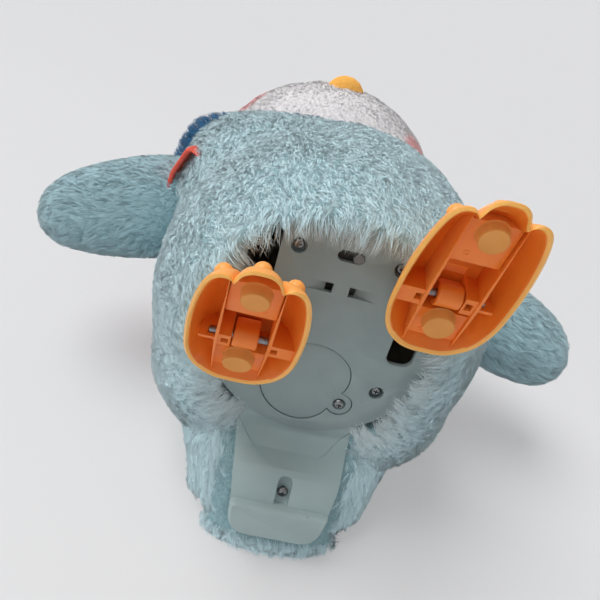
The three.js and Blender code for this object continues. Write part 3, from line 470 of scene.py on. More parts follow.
def rounded(x0, x1, y0, y1, corner, steps=5):
    """A box outline with round corners."""
    points = []
    for cx, cy, start in ((x1, y1, 0), (x0, y1, 1), (x0, y0, 2), (x1, y0, 3)):
        cx += -corner if cx == x1 else corner
        cy += -corner if cy == y1 else corner
        for i in range(steps):
            a = turn / 4 * (start + i / (steps - 1))
            points.append((cx + corner * math.cos(a), cy + corner * math.sin(a)))
    return points


def curve_through(points, count, closed=True):
    """Evenly spaced points on a smooth curve through the given ones."""
    dense = []
    n = len(points)
    last = n if closed else n - 1
    for i in range(last):
        near = [(i + k) % n if closed else min(max(i + k, 0), n - 1) for k in (-1, 0, 1, 2)]
        a, b, c, d = (np.array(points[k], float) for k in near)
        for t in np.linspace(0, 1, 24, endpoint=False):
            dense.append(0.5 * (2 * b + (c - a) * t + (2 * a - 5 * b + 4 * c - d) * t ** 2
                                + (3 * b - a - 3 * c + d) * t ** 3))
    dense.append(np.array(points[0] if closed else points[-1], float))
    dense = np.array(dense)
    walked = np.concatenate([[0], np.cumsum(np.linalg.norm(np.diff(dense, axis=0), axis=1))])
    wanted = np.linspace(0, walked[-1], count + 1 if closed else count)[:count]
    return np.stack([np.interp(wanted, walked, column) for column in dense.T], axis=1)


print("a gap of", gap, "mm is left round what fits in")

# %% [markdown]
# The base plate is rounder behind than in front. It carries the round battery bay, has two long
# holes for the legs and a short one for the switch, two shallow slanting recesses, and deep wells
# for its four screws. An arm behind it reaches down to hold the tail support.

# %% Base plate
plate_under, plate_top = 30.6, 33.2
plate_half, plate_front, plate_rear = 53, 53, 56  # from the plate's middle, at y -5
well, thread = 3.4, 1.5  # radii of a screw's well and of the bore under it
switch_at = (0, -40)
bay_x, bay_y, bay_bore, bay_wall = -1.5, 24.3, 16.9, 1.7
door_round = 20.8
ear_across, ear_back, ear_round = 17.7, 8, 5.8  # the door's ear, from the middle of the door
ear_x, ear_y = bay_x + ear_across, bay_y + ear_back
screw_places = [(-21.6, -39.7), (21.6, -39.7), (-30.6, 21.6), (30.6, 21.6)]


def plate_outline(grow=0, count=128):
    points = []
    for c, s in circle(count):
        power, depth = (3, plate_front) if s < 0 else (2, plate_rear)
        reach = (abs(c) ** power + abs(s) ** power) ** (-1 / power)
        points.append((reach * c * (plate_half + grow), -5 + reach * s * (depth + grow)))
    return points


def door_outline(grow, count=96):
    """A circle that draws in towards the neck of a round ear for the screw."""
    apart = math.hypot(ear_across, ear_back)
    aim = math.atan2(ear_back, ear_across)
    few = count // 4
    points = []
    for i in range(few):
        a = math.radians(112) * (2 * i / (few - 1) - 1)
        points.append((apart + (ear_round + grow) * math.cos(a), (ear_round + grow) * math.sin(a)))
    first, rest = math.radians(18), count - few
    for i in range(rest):
        a = first + (turn - 2 * first) * i / (rest - 1)
        near = max(0, (math.radians(64) - min(a, turn - a)) / math.radians(46))
        reach = door_round - 3.5 * near ** 1.6 + grow
        points.append((reach * math.cos(a), reach * math.sin(a)))
    c, s = math.cos(aim), math.sin(aim)
    return [(bay_x + c * u - s * v, bay_y + s * u + c * v) for u, v in points]


def pill(x, y, half_length, half_width, count=48):
    """An outline of two half circles and what is between them."""
    reach = half_length - half_width
    angles = [turn * (i + 0.5) / count for i in range(count)]
    return [
        (x + math.copysign(reach, math.cos(a)) + half_width * math.cos(a), y + half_width * math.sin(a))
        for a in angles
    ]


lip = 0.7
edge = ((-lip, plate_under), (-lip * 0.3, plate_under + lip * 0.3), (0, plate_under + lip), (0, plate_top))
plate = levels(plate_outline, edge)
for side in (1, -1):
    leg_hole = [(x * side, y) for x, y in rounded(28.6, 40.6, -47, 5, 4)]
    slope = [(0, -2), (12.2, -2), (12.2, -0.1), (0, 3.5)]
    vent = rising([
        [(side * (3.4 + along), y, plate_under + up) for along, up in slope] for y in (-26.9, -22.3)
    ])
    cut(plate, slab(leg_hole, 25, 38), vent)
cut(plate, slab(pill(*switch_at, 5.7, 2.5), 25, 38))
cut(plate, slab(door_outline(gap), 25, 36))
for x, y in screw_places:
    cut(plate, drum(well, x, y, 25, 38))
broken_edges(plate, 0.22)

# Above the plate come a contact, a cell with its nub, the wall and room for play
bay_top = plate_top + 2.6 + 49 + 1.2 + bay_wall + 1.5
bay = merged(
    drum(18.6, bay_x, bay_y, plate_top - gap, bay_top, 96),
    drum(24.2, bay_x, bay_y, plate_top - 0.2, plate_top + 1.8, 96),
)
combine(bay, "UNION", drum(ear_round, ear_x, ear_y, plate_top - 0.1, plate_top + 12))
cut(bay, drum(bay_bore, bay_x, bay_y, 25, bay_top - bay_wall, 96),
    drum(thread, ear_x, ear_y, 25, plate_top + 10.3, 24))
wells = []
for x, y in screw_places:
    tube = drum(5.3, x, y, plate_top - gap, plate_top + 6.4)
    cut(tube, drum(well, x, y, 25, 33.8), drum(thread, x, y, 25, 45, 24))
    wells.append(tube)
print("plate", len(plate.data.polygons), "faces")

# %% [markdown]
# The arm is hidden behind the tail support. It follows the support's side line and ends in the
# boss for the tail screw.

# %% Arm for the tail
tail_screw_y = 70.5
arm_line = [
    (38, 32.9), (51.3, 32.9), (51.3, 35.7), (54, 35.7), (65, 15.2), (80, 8), (80, 11), (67.5, 17.4),
    (57, 38.7), (38, 38.7),
]
arm_piece = side_slab(arm_line, -11, 11)
combine(arm_piece, "UNION", drum(4.3, 0, tail_screw_y, 12, 27.6))
cut(arm_piece, slab(rounded(-5.3, 5.3, 61.65, 78.35, 4.9), 0, 17),
    drum(thread, 0, tail_screw_y, 0, 25.8, 24))
base_shell = merged(plate, bay, arm_piece, *wells)
smooth(base_shell)
fit(base_shell, "base_shell", "chassis", "base_plastic", "base_plate")

# %% [markdown]
# The battery door is a thin lid in a recess, with a gap all round that shows dark.

# %% Battery door
door = levels(door_outline, ((-0.25, 31.0), (0, 31.25), (0, 33.0)))
cut(door, drum(3.0, ear_x, ear_y, 25, 32.0), drum(thread, ear_x, ear_y, 25, 38, 24))
broken_edges(door, 0.15)
fit(door, "door_lid", "battery_cover", "base_plastic", "battery_door")

# %% [markdown]
# All screws are alike: a pan head with a cross and a straight shank. One is modelled and copied.
# The steel heads sit in the shade of their wells.

# %% Screws
def screw(name, x, y, seat, node, body="chassis"):
    made = bpy.data.objects.new(name, pattern_screw.data.copy())
    bpy.context.scene.collection.objects.link(made)
    made.data.transform(Matrix.Translation(Vector((x * mm, y * mm, seat * mm))))
    fit(made, name, body, "steel", node)


head_round, head_high = 2.55, 1.9
head_curve = ((0.35, 1), (0.66, 0.95), (0.86, 0.78), (0.97, 0.5), (1, 0.2), (1, 0))
pattern_screw = lathed([(head_round * r, -head_high * z) for r, z in head_curve], sides=40)
for x, y in ((1.55, 0.36), (0.36, 1.55)):
    bar = ((x, y), (-x, y), (-x, -y), (x, -y))
    cross = [[(a * k, b * k, z) for a, b in bar] for k, z in ((1, -3), (0.7, -0.9))]
    cut(pattern_screw, rising(cross))
pattern_screw = merged(pattern_screw, drum(1.2, 0, 0, -0.4, 13, 24))
smooth(pattern_screw, 30)
for name, (x, y) in zip(("front_right", "front_left", "rear_right", "rear_left"), screw_places):
    screw(f"case_screw_{name}", x, y, 33.6, f"base_screw_{name}")
screw("door_screw_head", ear_x, ear_y, 31.85, "battery_door_screw", "battery_cover")
screw("tail_screw_head", 0, tail_screw_y, 9.7, "tail_screw")
bpy.data.objects.remove(pattern_screw)

# %% [markdown]
# The switch has a round knob, which stands proud at the end of its hole.

# %% Switch knob
knob_x = 5.7 - 2.3 - gap  # half the hole, less the knob's radius
knob_profile = ((1.55, 29.95), (1.75, 29.7), (2.05, 29.75), (2.3, 30.1), (2.3, 33.2))
knob = lathed(knob_profile, knob_x, switch_at[1])
smooth(knob, 30)
fit(knob, "switch_button", "switch_knob", "grey_plastic", "power_switch_knob")

# %% [markdown]
# The tail support flows out from under the base plate, bends down to a shelf, and ends in a raised
# pad that stands on the floor. Its side line is carried across and then trimmed to the outline
# seen from below.

# %% Tail support
def across_line(points, by):
    """The same line, moved square to itself."""
    way = np.gradient(points, axis=0)
    way = way / np.linalg.norm(way, axis=1, keepdims=True)
    return points + np.stack([-way[:, 1], way[:, 0]], axis=1) * by


under_line = curve_through([
    (40, 32.4), (46, 32.4), (50.8, 32.2), (53.6, 29.9), (56.6, 24.6), (59.6, 18.6), (62.2, 13.4),
    (64.4, 10.4), (67.4, 8.2), (71, 6.2), (74.6, 4.3), (78, 4), (86, 4), (94.5, 4),
], 56, closed=False)
over_line = curve_through([
    (94.5, 7), (78, 7.1), (74.6, 7.5), (71, 9.3), (67.6, 11.4), (65.4, 14), (63, 18.6),
    (60.4, 24.2), (57.6, 30), (55, 33.9), (51.2, 35.4), (46, 35.4), (40, 35.4),
], 56, closed=False)
half_line = curve_through([
    (28.2, 36), (28, 46), (26.9, 54), (25.2, 61), (24.1, 67), (22.9, 73), (22.5, 78), (22, 84), (20.9, 88.4),
    (18.2, 91.8), (12.6, 93.4), (0, 94),
], 44, closed=False)
seen_from_below = [*half_line, *((-x, y) for x, y in half_line[::-1][1:]), (0, 36)]
shelf = side_slab([*under_line, *over_line], -30, 30)
combine(shelf, "INTERSECT", slab(seen_from_below, -5, 45))
cut(shelf, slab(plate_outline(0.3), 20, 38), drum(1.5, 0, 70, 0, 40, 24))
band = side_slab([*across_line(under_line, 0.7), *across_line(under_line, -0.8)[::-1]], -30, 30)
cut(shelf, combine(drum(37.5, bay_x, bay_y, 0, 40, 128), "INTERSECT", band))
recess_y = np.array((63.4, 66, 69, 72, 75.4))
recess_z = 3.4 + np.interp(recess_y, *under_line.T)


def pocket(grow, depth):
    """The recess for the screw, whose floor follows the slope."""
    outline = rounded(-3.3 - grow, 3.3 + grow, 63.4 - grow, 75.4 + grow, 2.2 + grow * 0.8)
    floor = [(x, y, np.interp(y, recess_y, recess_z) + depth) for x, y in outline]
    return rising([[(x, y, -3) for x, y in outline], floor])


cup = cut(pocket(1.6, 1.4), slab([(-9, 50), (-9, 90), (9, 90), (9, 50)], -5, 1))
under_shelf = [*across_line(under_line, 1.2), (94.5, -5), (40, -5)]
cut(cup, side_slab(under_shelf, -12, 12))
combine(shelf, "UNION", cup)
cut(shelf, pocket(0, 0), drum(thread, 0, tail_screw_y, 0, 40, 24))
broken_edges(shelf, 0.3, 50)

pad_line = curve_through([
    (0, 74.4), (16, 74.4), (21.4, 74.5), (22.5, 75.7), (21.9, 83.5), (20.6, 87.8), (17.8, 91),
    (12.6, 92.5), (0, 93),
], 60, closed=False)
pad_outline = [*pad_line, *((-x, y) for x, y in pad_line[::-1][1:-1])]


def pad_ring(by, z, middle_y=84):
    """The pad's outline, drawn in towards its middle."""
    made = []
    for x, y in pad_outline:
        away = math.hypot(x, y - middle_y)
        made.append((x - x / away * by, y - (y - middle_y) / away * by, z))
    return made


pad_edge = ((1.6, 0), (1.3, 0.1), (1.0, 0.4), (0.45, 1.1), (0.2, 1.7), (0.1, 2.6), (0, 5.4))
tail_pad = rising([pad_ring(by, z) for by, z in pad_edge])
gate = drum(0.9, 13, 75.3, 0.5, 3.5, 24)
tail_piece = merged(shelf, smooth(tail_pad, 28), smooth(gate))
fit(tail_piece, "tail_shelf", "chassis", "tail_plastic", "tail_support")

# %% [markdown]
# A foot is an upside-down bowl with three toes. Its wall thickens at the rim, which is rounded, and
# inside are two ribs, a deck for each stub, and bosses that hold the steel ankle pin. The outline
# is a smooth curve with a crease between the toes, and the same foot serves both sides.

# %% Outline of a foot
foot_wide, foot_heel, foot_toe, foot_rim = 22.2, 27.1, 48.6, -6.2
foot_shares = [
    (0, 1), (0.42, 0.95), (0.78, 0.7), (0.96, 0.32), (1, -0.08), (0.985, -0.34), (0.93, -0.56), (0.85, -0.73),
    (0.75, -0.835), (0.63, -0.88), (0.5, -0.885), (0.425, -0.865), (0.388, -0.84), (0.358, -0.875),
    (0.29, -0.945), (0.16, -0.992), (0, -1),
]


def foot_outline(inset, count=144):
    half = []
    for x, y in foot_shares:
        half.append((x * (foot_wide - inset), y * ((foot_heel if y > 0 else foot_toe) - inset)))
    return curve_through(half + [(-x, y) for x, y in half[-2:0:-1]], count)


def foot_top(y):
    share = y / foot_heel if y > 0 else -y / foot_toe
    end = 4.6 if y > 0 else 7.4
    return end + (10.4 - end) * (1 + math.cos(math.pi * min(1, share * 1.1))) / 2


def foot_ring(inset, up, share, drop=0):
    low = foot_rim - drop
    shrunk = [(x * share, y * share) for x, y in foot_outline(inset)]
    return [(x, y, low + (foot_top(y) - inset - low) * up) for x, y in shrunk]


wall_curve = curve_through([
    (0, 1), (0.1, 0.992), (0.3, 0.945), (0.52, 0.88), (0.74, 0.8), (0.9, 0.7), (0.98, 0.58), (1, 0.45),
    (1.01, 0.28), (1.015, 0.06),
], 22, closed=False)
rim = [foot_ring(inset, up, 1) for inset, up in ((1.9, 0.05), (1.5, 0.0), (0.95, -0.025), (0.45, 0.0))]
inside = [foot_ring(2.1, up, share) for up, share in wall_curve[:0:-1]]
outside = [foot_ring(0, max(up, 0.035), share) for up, share in wall_curve]
bowl = rising(inside + rim + outside)
print("bowl", len(bowl.data.polygons), "faces")

# %% [markdown]
# What stands inside the bowl is cut to the bowl's hollow, so it meets the wall all round.

# %% Inside of a foot
def box(x0, x1, y0, y1, z0, z1):
    return slab([(x1, y1), (x0, y1), (x0, y0), (x1, y0)], z0, z1)


def hollow(drop=0):
    """The room in the bowl, as a solid, which may reach further down."""
    return rising([foot_ring(1.2, up, share, drop) for up, share in wall_curve])


def rib(side):
    """It runs from a crease between two toes to the heel, and leans outwards a little."""
    line = [(8.9, -44), (10.2, 0), (10.1, 30)]
    outline = [(side * (x - 0.7), y) for x, y in line] + [(side * (x + 0.7), y) for x, y in line[::-1]]
    return slab(outline, -4.7, 12)


works = combine(
    rib(1), "UNION", rib(-1), box(-9.2, 9.2, -37.6, -19.6, -2.9, 12), box(-9.6, 9.6, 5.6, 19.4, -2.9, 12),
    box(-26, -9.6, -3.9, 3.7, -4.2, 12), box(4.7, 10.2, -3.9, 3.7, -3.9, 12),
    box(10.2, 17, 0.4, 1.8, -3.2, 12),
)
combine(works, "INTERSECT", hollow())


def passage():
    """Room for the leg: it widens upwards, because the foot tips."""
    side = [(-5.8, -8), (5.8, -8), (5.8, 0), (12.4, 12.5), (-9.9, 12.5), (-5.8, 0)]
    return side_slab(side, -6.3, 4.7)


def across_drum(radius, left, right, y=0, z=0, sides=40):
    outline = [(y + radius * c, z + radius * s) for c, s in circle(sides)]
    return side_slab(outline, left, right)


cut(bowl, passage())
cut(works, passage(), across_drum(1.6, -13.7, 13.7),
    box(5.6, 8.4, -1.6, 1.6, -8, 0), box(-13.6, -10.9, -1.6, 1.6, -8, 0))
broken_edges(modified(works, "WELD", merge_threshold=0.02 * mm), 0.28, 40)
smooth(bowl, 40)


def ring_mark(x, y, z):
    """The mark of an ejector pin."""
    ring = drum(1.2, x, y, z - 0.18, z + 0.2, 24)
    return cut(ring, drum(0.75, x, y, z - 0.5, z + 0.02, 24))


claws = []
for x, y in ((0, -39.6), (12.5, -34.2), (-12.5, -34.2)):
    bpy.ops.object.select_all(action="DESELECT")
    spot = at(x, y, 1.8)
    bpy.ops.mesh.primitive_uv_sphere_add(segments=32, ring_count=16, radius=3.4 * mm, location=spot)
    bpy.ops.object.transform_apply(location=True, rotation=False, scale=False)
    claw = bpy.context.object
    claws.append(smooth(cut(claw, hollow(3)), 40))
foot_pattern = merged(bowl, works, ring_mark(-4.6, -23.4, -2.9), ring_mark(-4.4, 17.2, -2.9), *claws)

# Faces get 1 on the rim, 0.6 outside and 0 in the hollow: the share of painted light in the
# colour, so the rim is painted palest and the hollow keeps the deeper orange of painted shade
pale_below = at(0, 0, foot_rim + 0.6).z
hollow_middle = at(0, -8, -12)
rim_marks = foot_pattern.data.attributes.new("rim", "FLOAT", "FACE")
rim_marks.data.foreach_set("value", [
    1.0 if face.center.z < pale_below else 0.0 if (hollow_middle - face.center).dot(face.normal) > 0 else 0.6
    for face in foot_pattern.data.polygons
])
print("foot", len(foot_pattern.data.polygons), "faces")

# %% [markdown]
# Each foot stands on two paler stubs, which are turned: they flare at the deck and are a little
# dished at the end. A straight steel pin is the ankle.

# %% Stubs and pins of a foot
stub_curve = ((1.14, -2.7), (1.07, -3.1), (1.03, -3.9), (1, -6.7), (0.965, -7.05), (0.9, -7.2), (0.86, -7.1))


def stub(y, wide):
    return smooth(lathed([(wide * share, z) for share, z in stub_curve], 0, y, 64), 30)


stub_patterns = {"front": stub(-33.2, 5.2), "heel": stub(10.8, 5.9)}
pin_pattern = smooth(across_drum(1.45, -13.4, 13.4), 30)
print("two stubs and a pin for each foot")

# %% [markdown]
# The leg is in two parts: a dark bar, which hangs from the hip inside the toy, and an orange
# knuckle pressed on its end, which is all that shows inside the foot.

# %% Legs
leg_across, hip_y, hip_z, ankle_z = 34.6, -26, 108, 7.2
leg_swing = 10.4  # degrees from upright, the left one to the front and the right one to the back
slant = math.radians(leg_swing)
leg_long = (hip_z - ankle_z) / math.cos(slant)
crank_level = -32 / math.cos(slant)
bar_line = [
    (-6.5, crank_level + 17), (-6.5, crank_level - 17), (-5, crank_level - 30), (-5, -leg_long + 13),
    (5, -leg_long + 13), (5, crank_level - 30), (6.5, crank_level - 17), (6.5, crank_level + 17),
    (8, 0), (-8, 0),
]
bar_pattern = side_slab(bar_line, -3.8, 3.8)
combine(bar_pattern, "UNION", across_drum(8, -3.8, 3.8))
cut(bar_pattern, across_drum(2.4, -9, 9), side_slab([
    (-2.7, crank_level + 8.5), (-2.7, crank_level - 8.5), (2.7, crank_level - 8.5), (2.7, crank_level + 8.5),
], -9, 9))
broken_edges(bar_pattern, 0.5)
knuckle_line = [(4.6 * math.cos(a), -leg_long + 4.6 * math.sin(a)) for a in np.linspace(math.pi, turn, 30)]
knuckle_pattern = side_slab(knuckle_line + [
    (4.9, -leg_long + 5), (5.3, -leg_long + 17), (-5.3, -leg_long + 17), (-4.9, -leg_long + 5),
], -5.5, 4.1)
cut(knuckle_pattern, across_drum(1.85, -9, 9, 0, -leg_long))
broken_edges(knuckle_pattern, 0.6, 40, 3)


def placed(pattern, spot, turned):
    """A copy of a pattern that was modelled round the zero point, mirrored for the right side."""
    made = bpy.data.objects.new(pattern.name, pattern.data.copy())
    bpy.context.scene.collection.objects.link(made)
    tilt = Matrix.Rotation(math.radians(turned), 4, "X")
    if spot[0] < 0:
        tilt = tilt @ Matrix.Scale(-1, 4, (1, 0, 0))
        made.data.flip_normals()
    made.data.transform(Matrix.Translation(at(*spot)) @ tilt @ Matrix.Translation(-at(0, 0, 0)))
    return made


for side, sign, hangs in (("left", 1, 17.8), ("right", -1, 25.8)):
    ankle = (sign * leg_across, hip_y - sign * leg_long * math.sin(slant), ankle_z)
    foot_body, leg_body = f"{side}_foot", f"{side}_leg"
    fit(placed(foot_pattern, ankle, hangs), f"foot_shell_{side}", foot_body, "orange_plastic", f"foot_{side}")
    fit(placed(pin_pattern, ankle, hangs), f"ankle_rod_{side}", foot_body, "steel", f"ankle_pin_{side}")
    for place, pattern in stub_patterns.items():
        fit(placed(pattern, ankle, hangs), f"{place}_stub_{side}", foot_body, "orange_pad",
            f"{place}_pad_{side}")
    hip, tilt = (sign * leg_across, hip_y, hip_z), -sign * leg_swing
    fit(placed(bar_pattern, hip, tilt), f"leg_bar_{side}", leg_body, "black_plastic", f"leg_{side}")
    fit(placed(knuckle_pattern, hip, tilt), f"leg_knuckle_{side}", leg_body, "orange_plastic")
for pattern in (foot_pattern, pin_pattern, bar_pattern, knuckle_pattern, *stub_patterns.values()):
    bpy.data.objects.remove(pattern)

# %% [markdown]
# Plush is cloth with a pile. The cloth of each part starts as a copy of its solid in the model,
# which is melted into one even skin. Some skins are then pushed to where the photograph shows the
# loose plush: a shoulder that stands out, a hem that turns in, a fuller tail.

# %% Skins
def threes(items, key, kind=np.float32):
    """One property of all points or faces of a mesh, in rows of three."""
    values = np.empty(len(items) * 3, kind)
    items.foreach_get(key, values)
    return values.reshape(-1, 3)


def reshape(piece, change):
    """Moves a piece's points. change gets and gives them in the toy's millimetres."""
    mesh = piece.data
    moved = change((threes(mesh.vertices, "co") - shift) / mm) * mm + shift
    mesh.vertices.foreach_set("co", moved.astype(np.float32).ravel())
    mesh.update()


def step(value, low, high):
    """0 below low, 1 above high, smooth in between."""
    share = np.clip((value - low) / (high - low), 0, 1)
    return (share * share * (3 - 2 * share))[:, None]


def skin(name, node, body, material, grain=0.0035, rounds=10, change=None):
    """An even, soft copy of a solid, which stands for it. grain is in metres."""
    only(frame["nodes"][node])
    bpy.ops.object.duplicate()
    made = bpy.context.object
    made.name = name
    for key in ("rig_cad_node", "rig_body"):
        if key in made:
            del made[key]
    made.parent = None
    edited(made, bpy.ops.mesh.remove_doubles, threshold=0.01 * mm)
    modified(made, "REMESH", mode="VOXEL", voxel_size=grain)
    modified(made, "SMOOTH", factor=0.5, iterations=rounds)
    bpy.ops.object.shade_smooth()
    made.data.materials.clear()
    made.data.materials.append(material)
    if change:
        reshape(made, change)
    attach(made, body)
    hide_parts(node)
    print(name, len(made.data.vertices), "points")
    return made


def cloth_back(name, light, dark, dye=None):
    """The cloth that the pile grows from. A dyed one is smooth."""
    finish = Finish(name)
    knit = finish.noise(700, 3)
    tint = finish.mix(knit.between(0.3, 0.7), seen(*dark), seen(*light))
    if dye:
        return finish.close(dye(finish, tint), 0.95, Specular_IOR_Level=0.1)
    return finish.close(tint, 0.95, finish.bump(knit, 0.5, 0.001), Specular_IOR_Level=0.1)


def cheeks(finish, tint):
    """Two soft pink rounds on the face."""
    for cheek in (at(-62.9, -54, 202.5), at(49.6, -56, 173.6)):
        ends = {0: finish.place, 1: cheek}
        away = finish.node("VectorMath", {"operation": "DISTANCE"}, ends, out=1)
        tint = finish.mix(away.between(0.019, 0.011), tint, seen(246, 178, 178))
    return tint


def head_turned(places):
    """The head sits a little to one side, as in the photograph."""
    return places + [-3.5, -3, 0]


def wing_left_turned(places):
    """This wing lies back and is thicker."""
    hub = np.array([62, -2, 127])
    off = (places - hub) * [1.02, 1.25, 1.06]
    a = math.radians(7)
    back = np.array([0, 1, -5]) * step(places[:, 0], 60, 110)
    return hub + back + np.stack([
        off[:, 0] * math.cos(a) - off[:, 1] * math.sin(a),
        off[:, 0] * math.sin(a) + off[:, 1] * math.cos(a), off[:, 2],
    ], axis=1)


def wing_right_turned(places):
    """This wing is fuller at its root, on the side of the belly."""
    out = 1 - step(-places[:, 0], 75, 165)
    ahead = step(-places[:, 1], -8, 10)
    return places + np.array([0, -13, 8]) * out * ahead


def tail_fuller(places):
    """The plush of the tail bulges round the pad and behind it."""
    middle = np.array([0, 82, 21])
    x, y, z = places.T
    free = np.maximum(step(np.abs(x), 26, 31), step(y, 92, 97))
    rear = step(y, 78, 100)
    wider = np.stack([x * 0.3, 0 * y + 2, 0 * z - 9], axis=1) * rear
    return places + (places - middle) * [0.34, 0.12, 0.3] * free + wider


def collar_shaped(places):
    """The collar is loose at the right shoulder and tucked in elsewhere at the front."""
    x, y, z = places.T
    loose = step(-x, 40, 62) * (1 - step(y, 0, 40))
    tucked = (1 - step(-x, 5, 35)) * (1 - step(y, -20, 20))
    return places + np.array([-21, -10, 7]) * loose + np.array([0, 7, 1]) * tucked


def body_fuller(places):
    """The plush stands out at the right shoulder, and its hem turns in over the base plate."""
    x, y, z = places.T
    side = step(z, 85, 130) * (1 - step(y, 0, 40))
    shoulder = step(-x, 12, 52) * side + step(-x, 38, 64) * side * 0.5
    hem = (1 - step(z, 34, 56)) * (1 - step(y, 10, 40))
    inward = np.stack([-x, -y, 0 * z], axis=1) / np.maximum(np.hypot(x, y), 1)[:, None]
    rump = step(y, 20, 45) * (1 - step(z, 50, 80)) * step(np.abs(x), 24, 40)
    back = np.stack([np.sign(x) * 4, 0 * y + 6, 0 * z - 5], axis=1)
    turned_in = inward * hem * 5.5 + np.array([0, 0, -9]) * hem
    return places + (np.array([-10, -9, 6]) * shoulder + turned_in + back * rump)


def vest_loose(places):
    """The vest stands off at the right shoulder, and its front edges lie under the plush."""
    x, y, z = places.T
    side = step(-x, 48, 72)
    front = 1 - step(y, -48, -30)
    off = side * (1 - step(y, 0, 40))
    return places + np.array([-10, -10, 9]) * off + np.array([0, 15, 0]) * front


white_back = cloth_back("white_backing", (228, 224, 225), (218, 213, 215), cheeks)
# Painted shade: the blue cloth under the pile is darker than the pile's roots, for the shade deep in the pile
blue_back_painted_shade = cloth_back("pale_blue_backing_painted_shade", (146, 176, 182), (126, 158, 165))
navy_back = cloth_back("navy_backing", (34, 76, 112), (26, 62, 96))
beak_felt = cloth_back("beak_felt", (248, 186, 96), (242, 174, 82))
coral_cloth = cloth_back("coral_cloth", (232, 104, 88), (220, 90, 76))

body_skin = skin("body_skin", "body_plush", "chassis", blue_back_painted_shade, change=body_fuller)
tail_skin = skin("tail_skin", "tail_plush", "chassis", blue_back_painted_shade, 0.0025, 6, tail_fuller)
wing_skins = {
    side: skin(f"wing_skin_{side}", f"wing_plush_{side}", f"{side}_wing", blue_back_painted_shade, change=change)
    for side, change in (("left", wing_left_turned), ("right", wing_right_turned))
}
face_skin = skin("face_skin", "face_plush", "chassis", white_back, change=head_turned)
hood_skin = skin("hood_skin", "hood_plush", "chassis", blue_back_painted_shade, change=head_turned)
collar_skin = skin("collar_skin", "neck_collar", "chassis", navy_back, 0.003,
                   change=collar_shaped)
skin("beak_form", "beak", "chassis", beak_felt, 0.0009, 8,
     lambda places: head_turned(places) + [-1, 5, -2])

# %% [markdown]
# The vest is a strip of woven cloth round the neck, open in front, so it is a sheet. The drawn
# cloth is closed all round, and half of its surface is the area of the strip. The flat size is an
# estimate with that area. Only a corner of the vest is seen, so it has no seams.

# %% Vest
vest_cloth = skin("vest_cloth", "vest", "chassis", coral_cloth, 0.0011, 2, vest_loose)
vest_area = sum(face.area for face in vest_cloth.data.polygons) / 2
vest_widest, vest_mean = 0.066, 0.058  # metres, estimated: the drawn strip is about 0.05 wide
vest_flat = (vest_area / vest_mean, vest_widest)
print("vest, square cm:", round(vest_area * 1e4))

# %% [markdown]
# Each eye is a glossy black disc, as they are on such toys. It starts as the ball of the model,
# which is pressed flat towards the middle of the head and sunk into the cloth.

# %% Eyes
head_middle = np.array([0, -6, 196])
for side in ("left", "right"):
    low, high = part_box(f"eye_{side}")
    middle = ((np.array(low) + np.array(high)) / 2 - shift) / mm
    outward_way = (middle - head_middle) / np.linalg.norm(middle - head_middle)

    def flatter(places, middle=middle, outward_way=outward_way):
        off = (places - middle) @ outward_way
        return head_turned(places - np.outer(off * 0.55 + 1.9, outward_way))

    skin(f"eye_disc_{side}", f"eye_{side}", "chassis", plastics["eye_black"], 0.0005, 3,
         flatter)

# %% [markdown]
# The pile is planted on the skins: thousands of thin tapered blades that lie the way the cloth was
# brushed and gather in small tufts. A blade is a flat strip with a bend and a point. Hair curves
# would be lost in the exported model, and a bump would leave a smooth outline.

# %% Pile
plenty = 1.0  # the share of the blades that is planted


def unit(vectors):
    return vectors / np.maximum(np.linalg.norm(vectors, axis=1, keepdims=True), 1e-9)


def scatter(piece, count, where, chance):
    """Random places on a piece, even over its area, where the pile grows."""
    mesh = piece.data
    mesh.calc_loop_triangles()
    places = threes(mesh.vertices, "co").astype(float)
    normals = threes(mesh.vertex_normals, "vector").astype(float)
    corners = threes(mesh.loop_triangles, "vertices", np.int32)
    a, b, c = (places[corners[:, i]] for i in range(3))
    area = np.linalg.norm(np.cross(b - a, c - a), axis=1) / 2
    facing = unit(normals[corners].sum(axis=1))
    share = area * where((a + b + c) / 3 - shift, facing)
    picked = chance.choice(len(corners), size=count, p=share / share.sum())
    u, v = chance.random((2, count, 1))
    over = (u + v) > 1
    u, v = np.where(over, 1 - u, u), np.where(over, 1 - v, v)
    found = a[picked] + u * (b - a)[picked] + v * (c - a)[picked]
    na, nb, nc = (normals[corners[picked, i]] for i in range(3))
    return found, unit(na + u * (nb - na) + v * (nc - na)), share.sum()


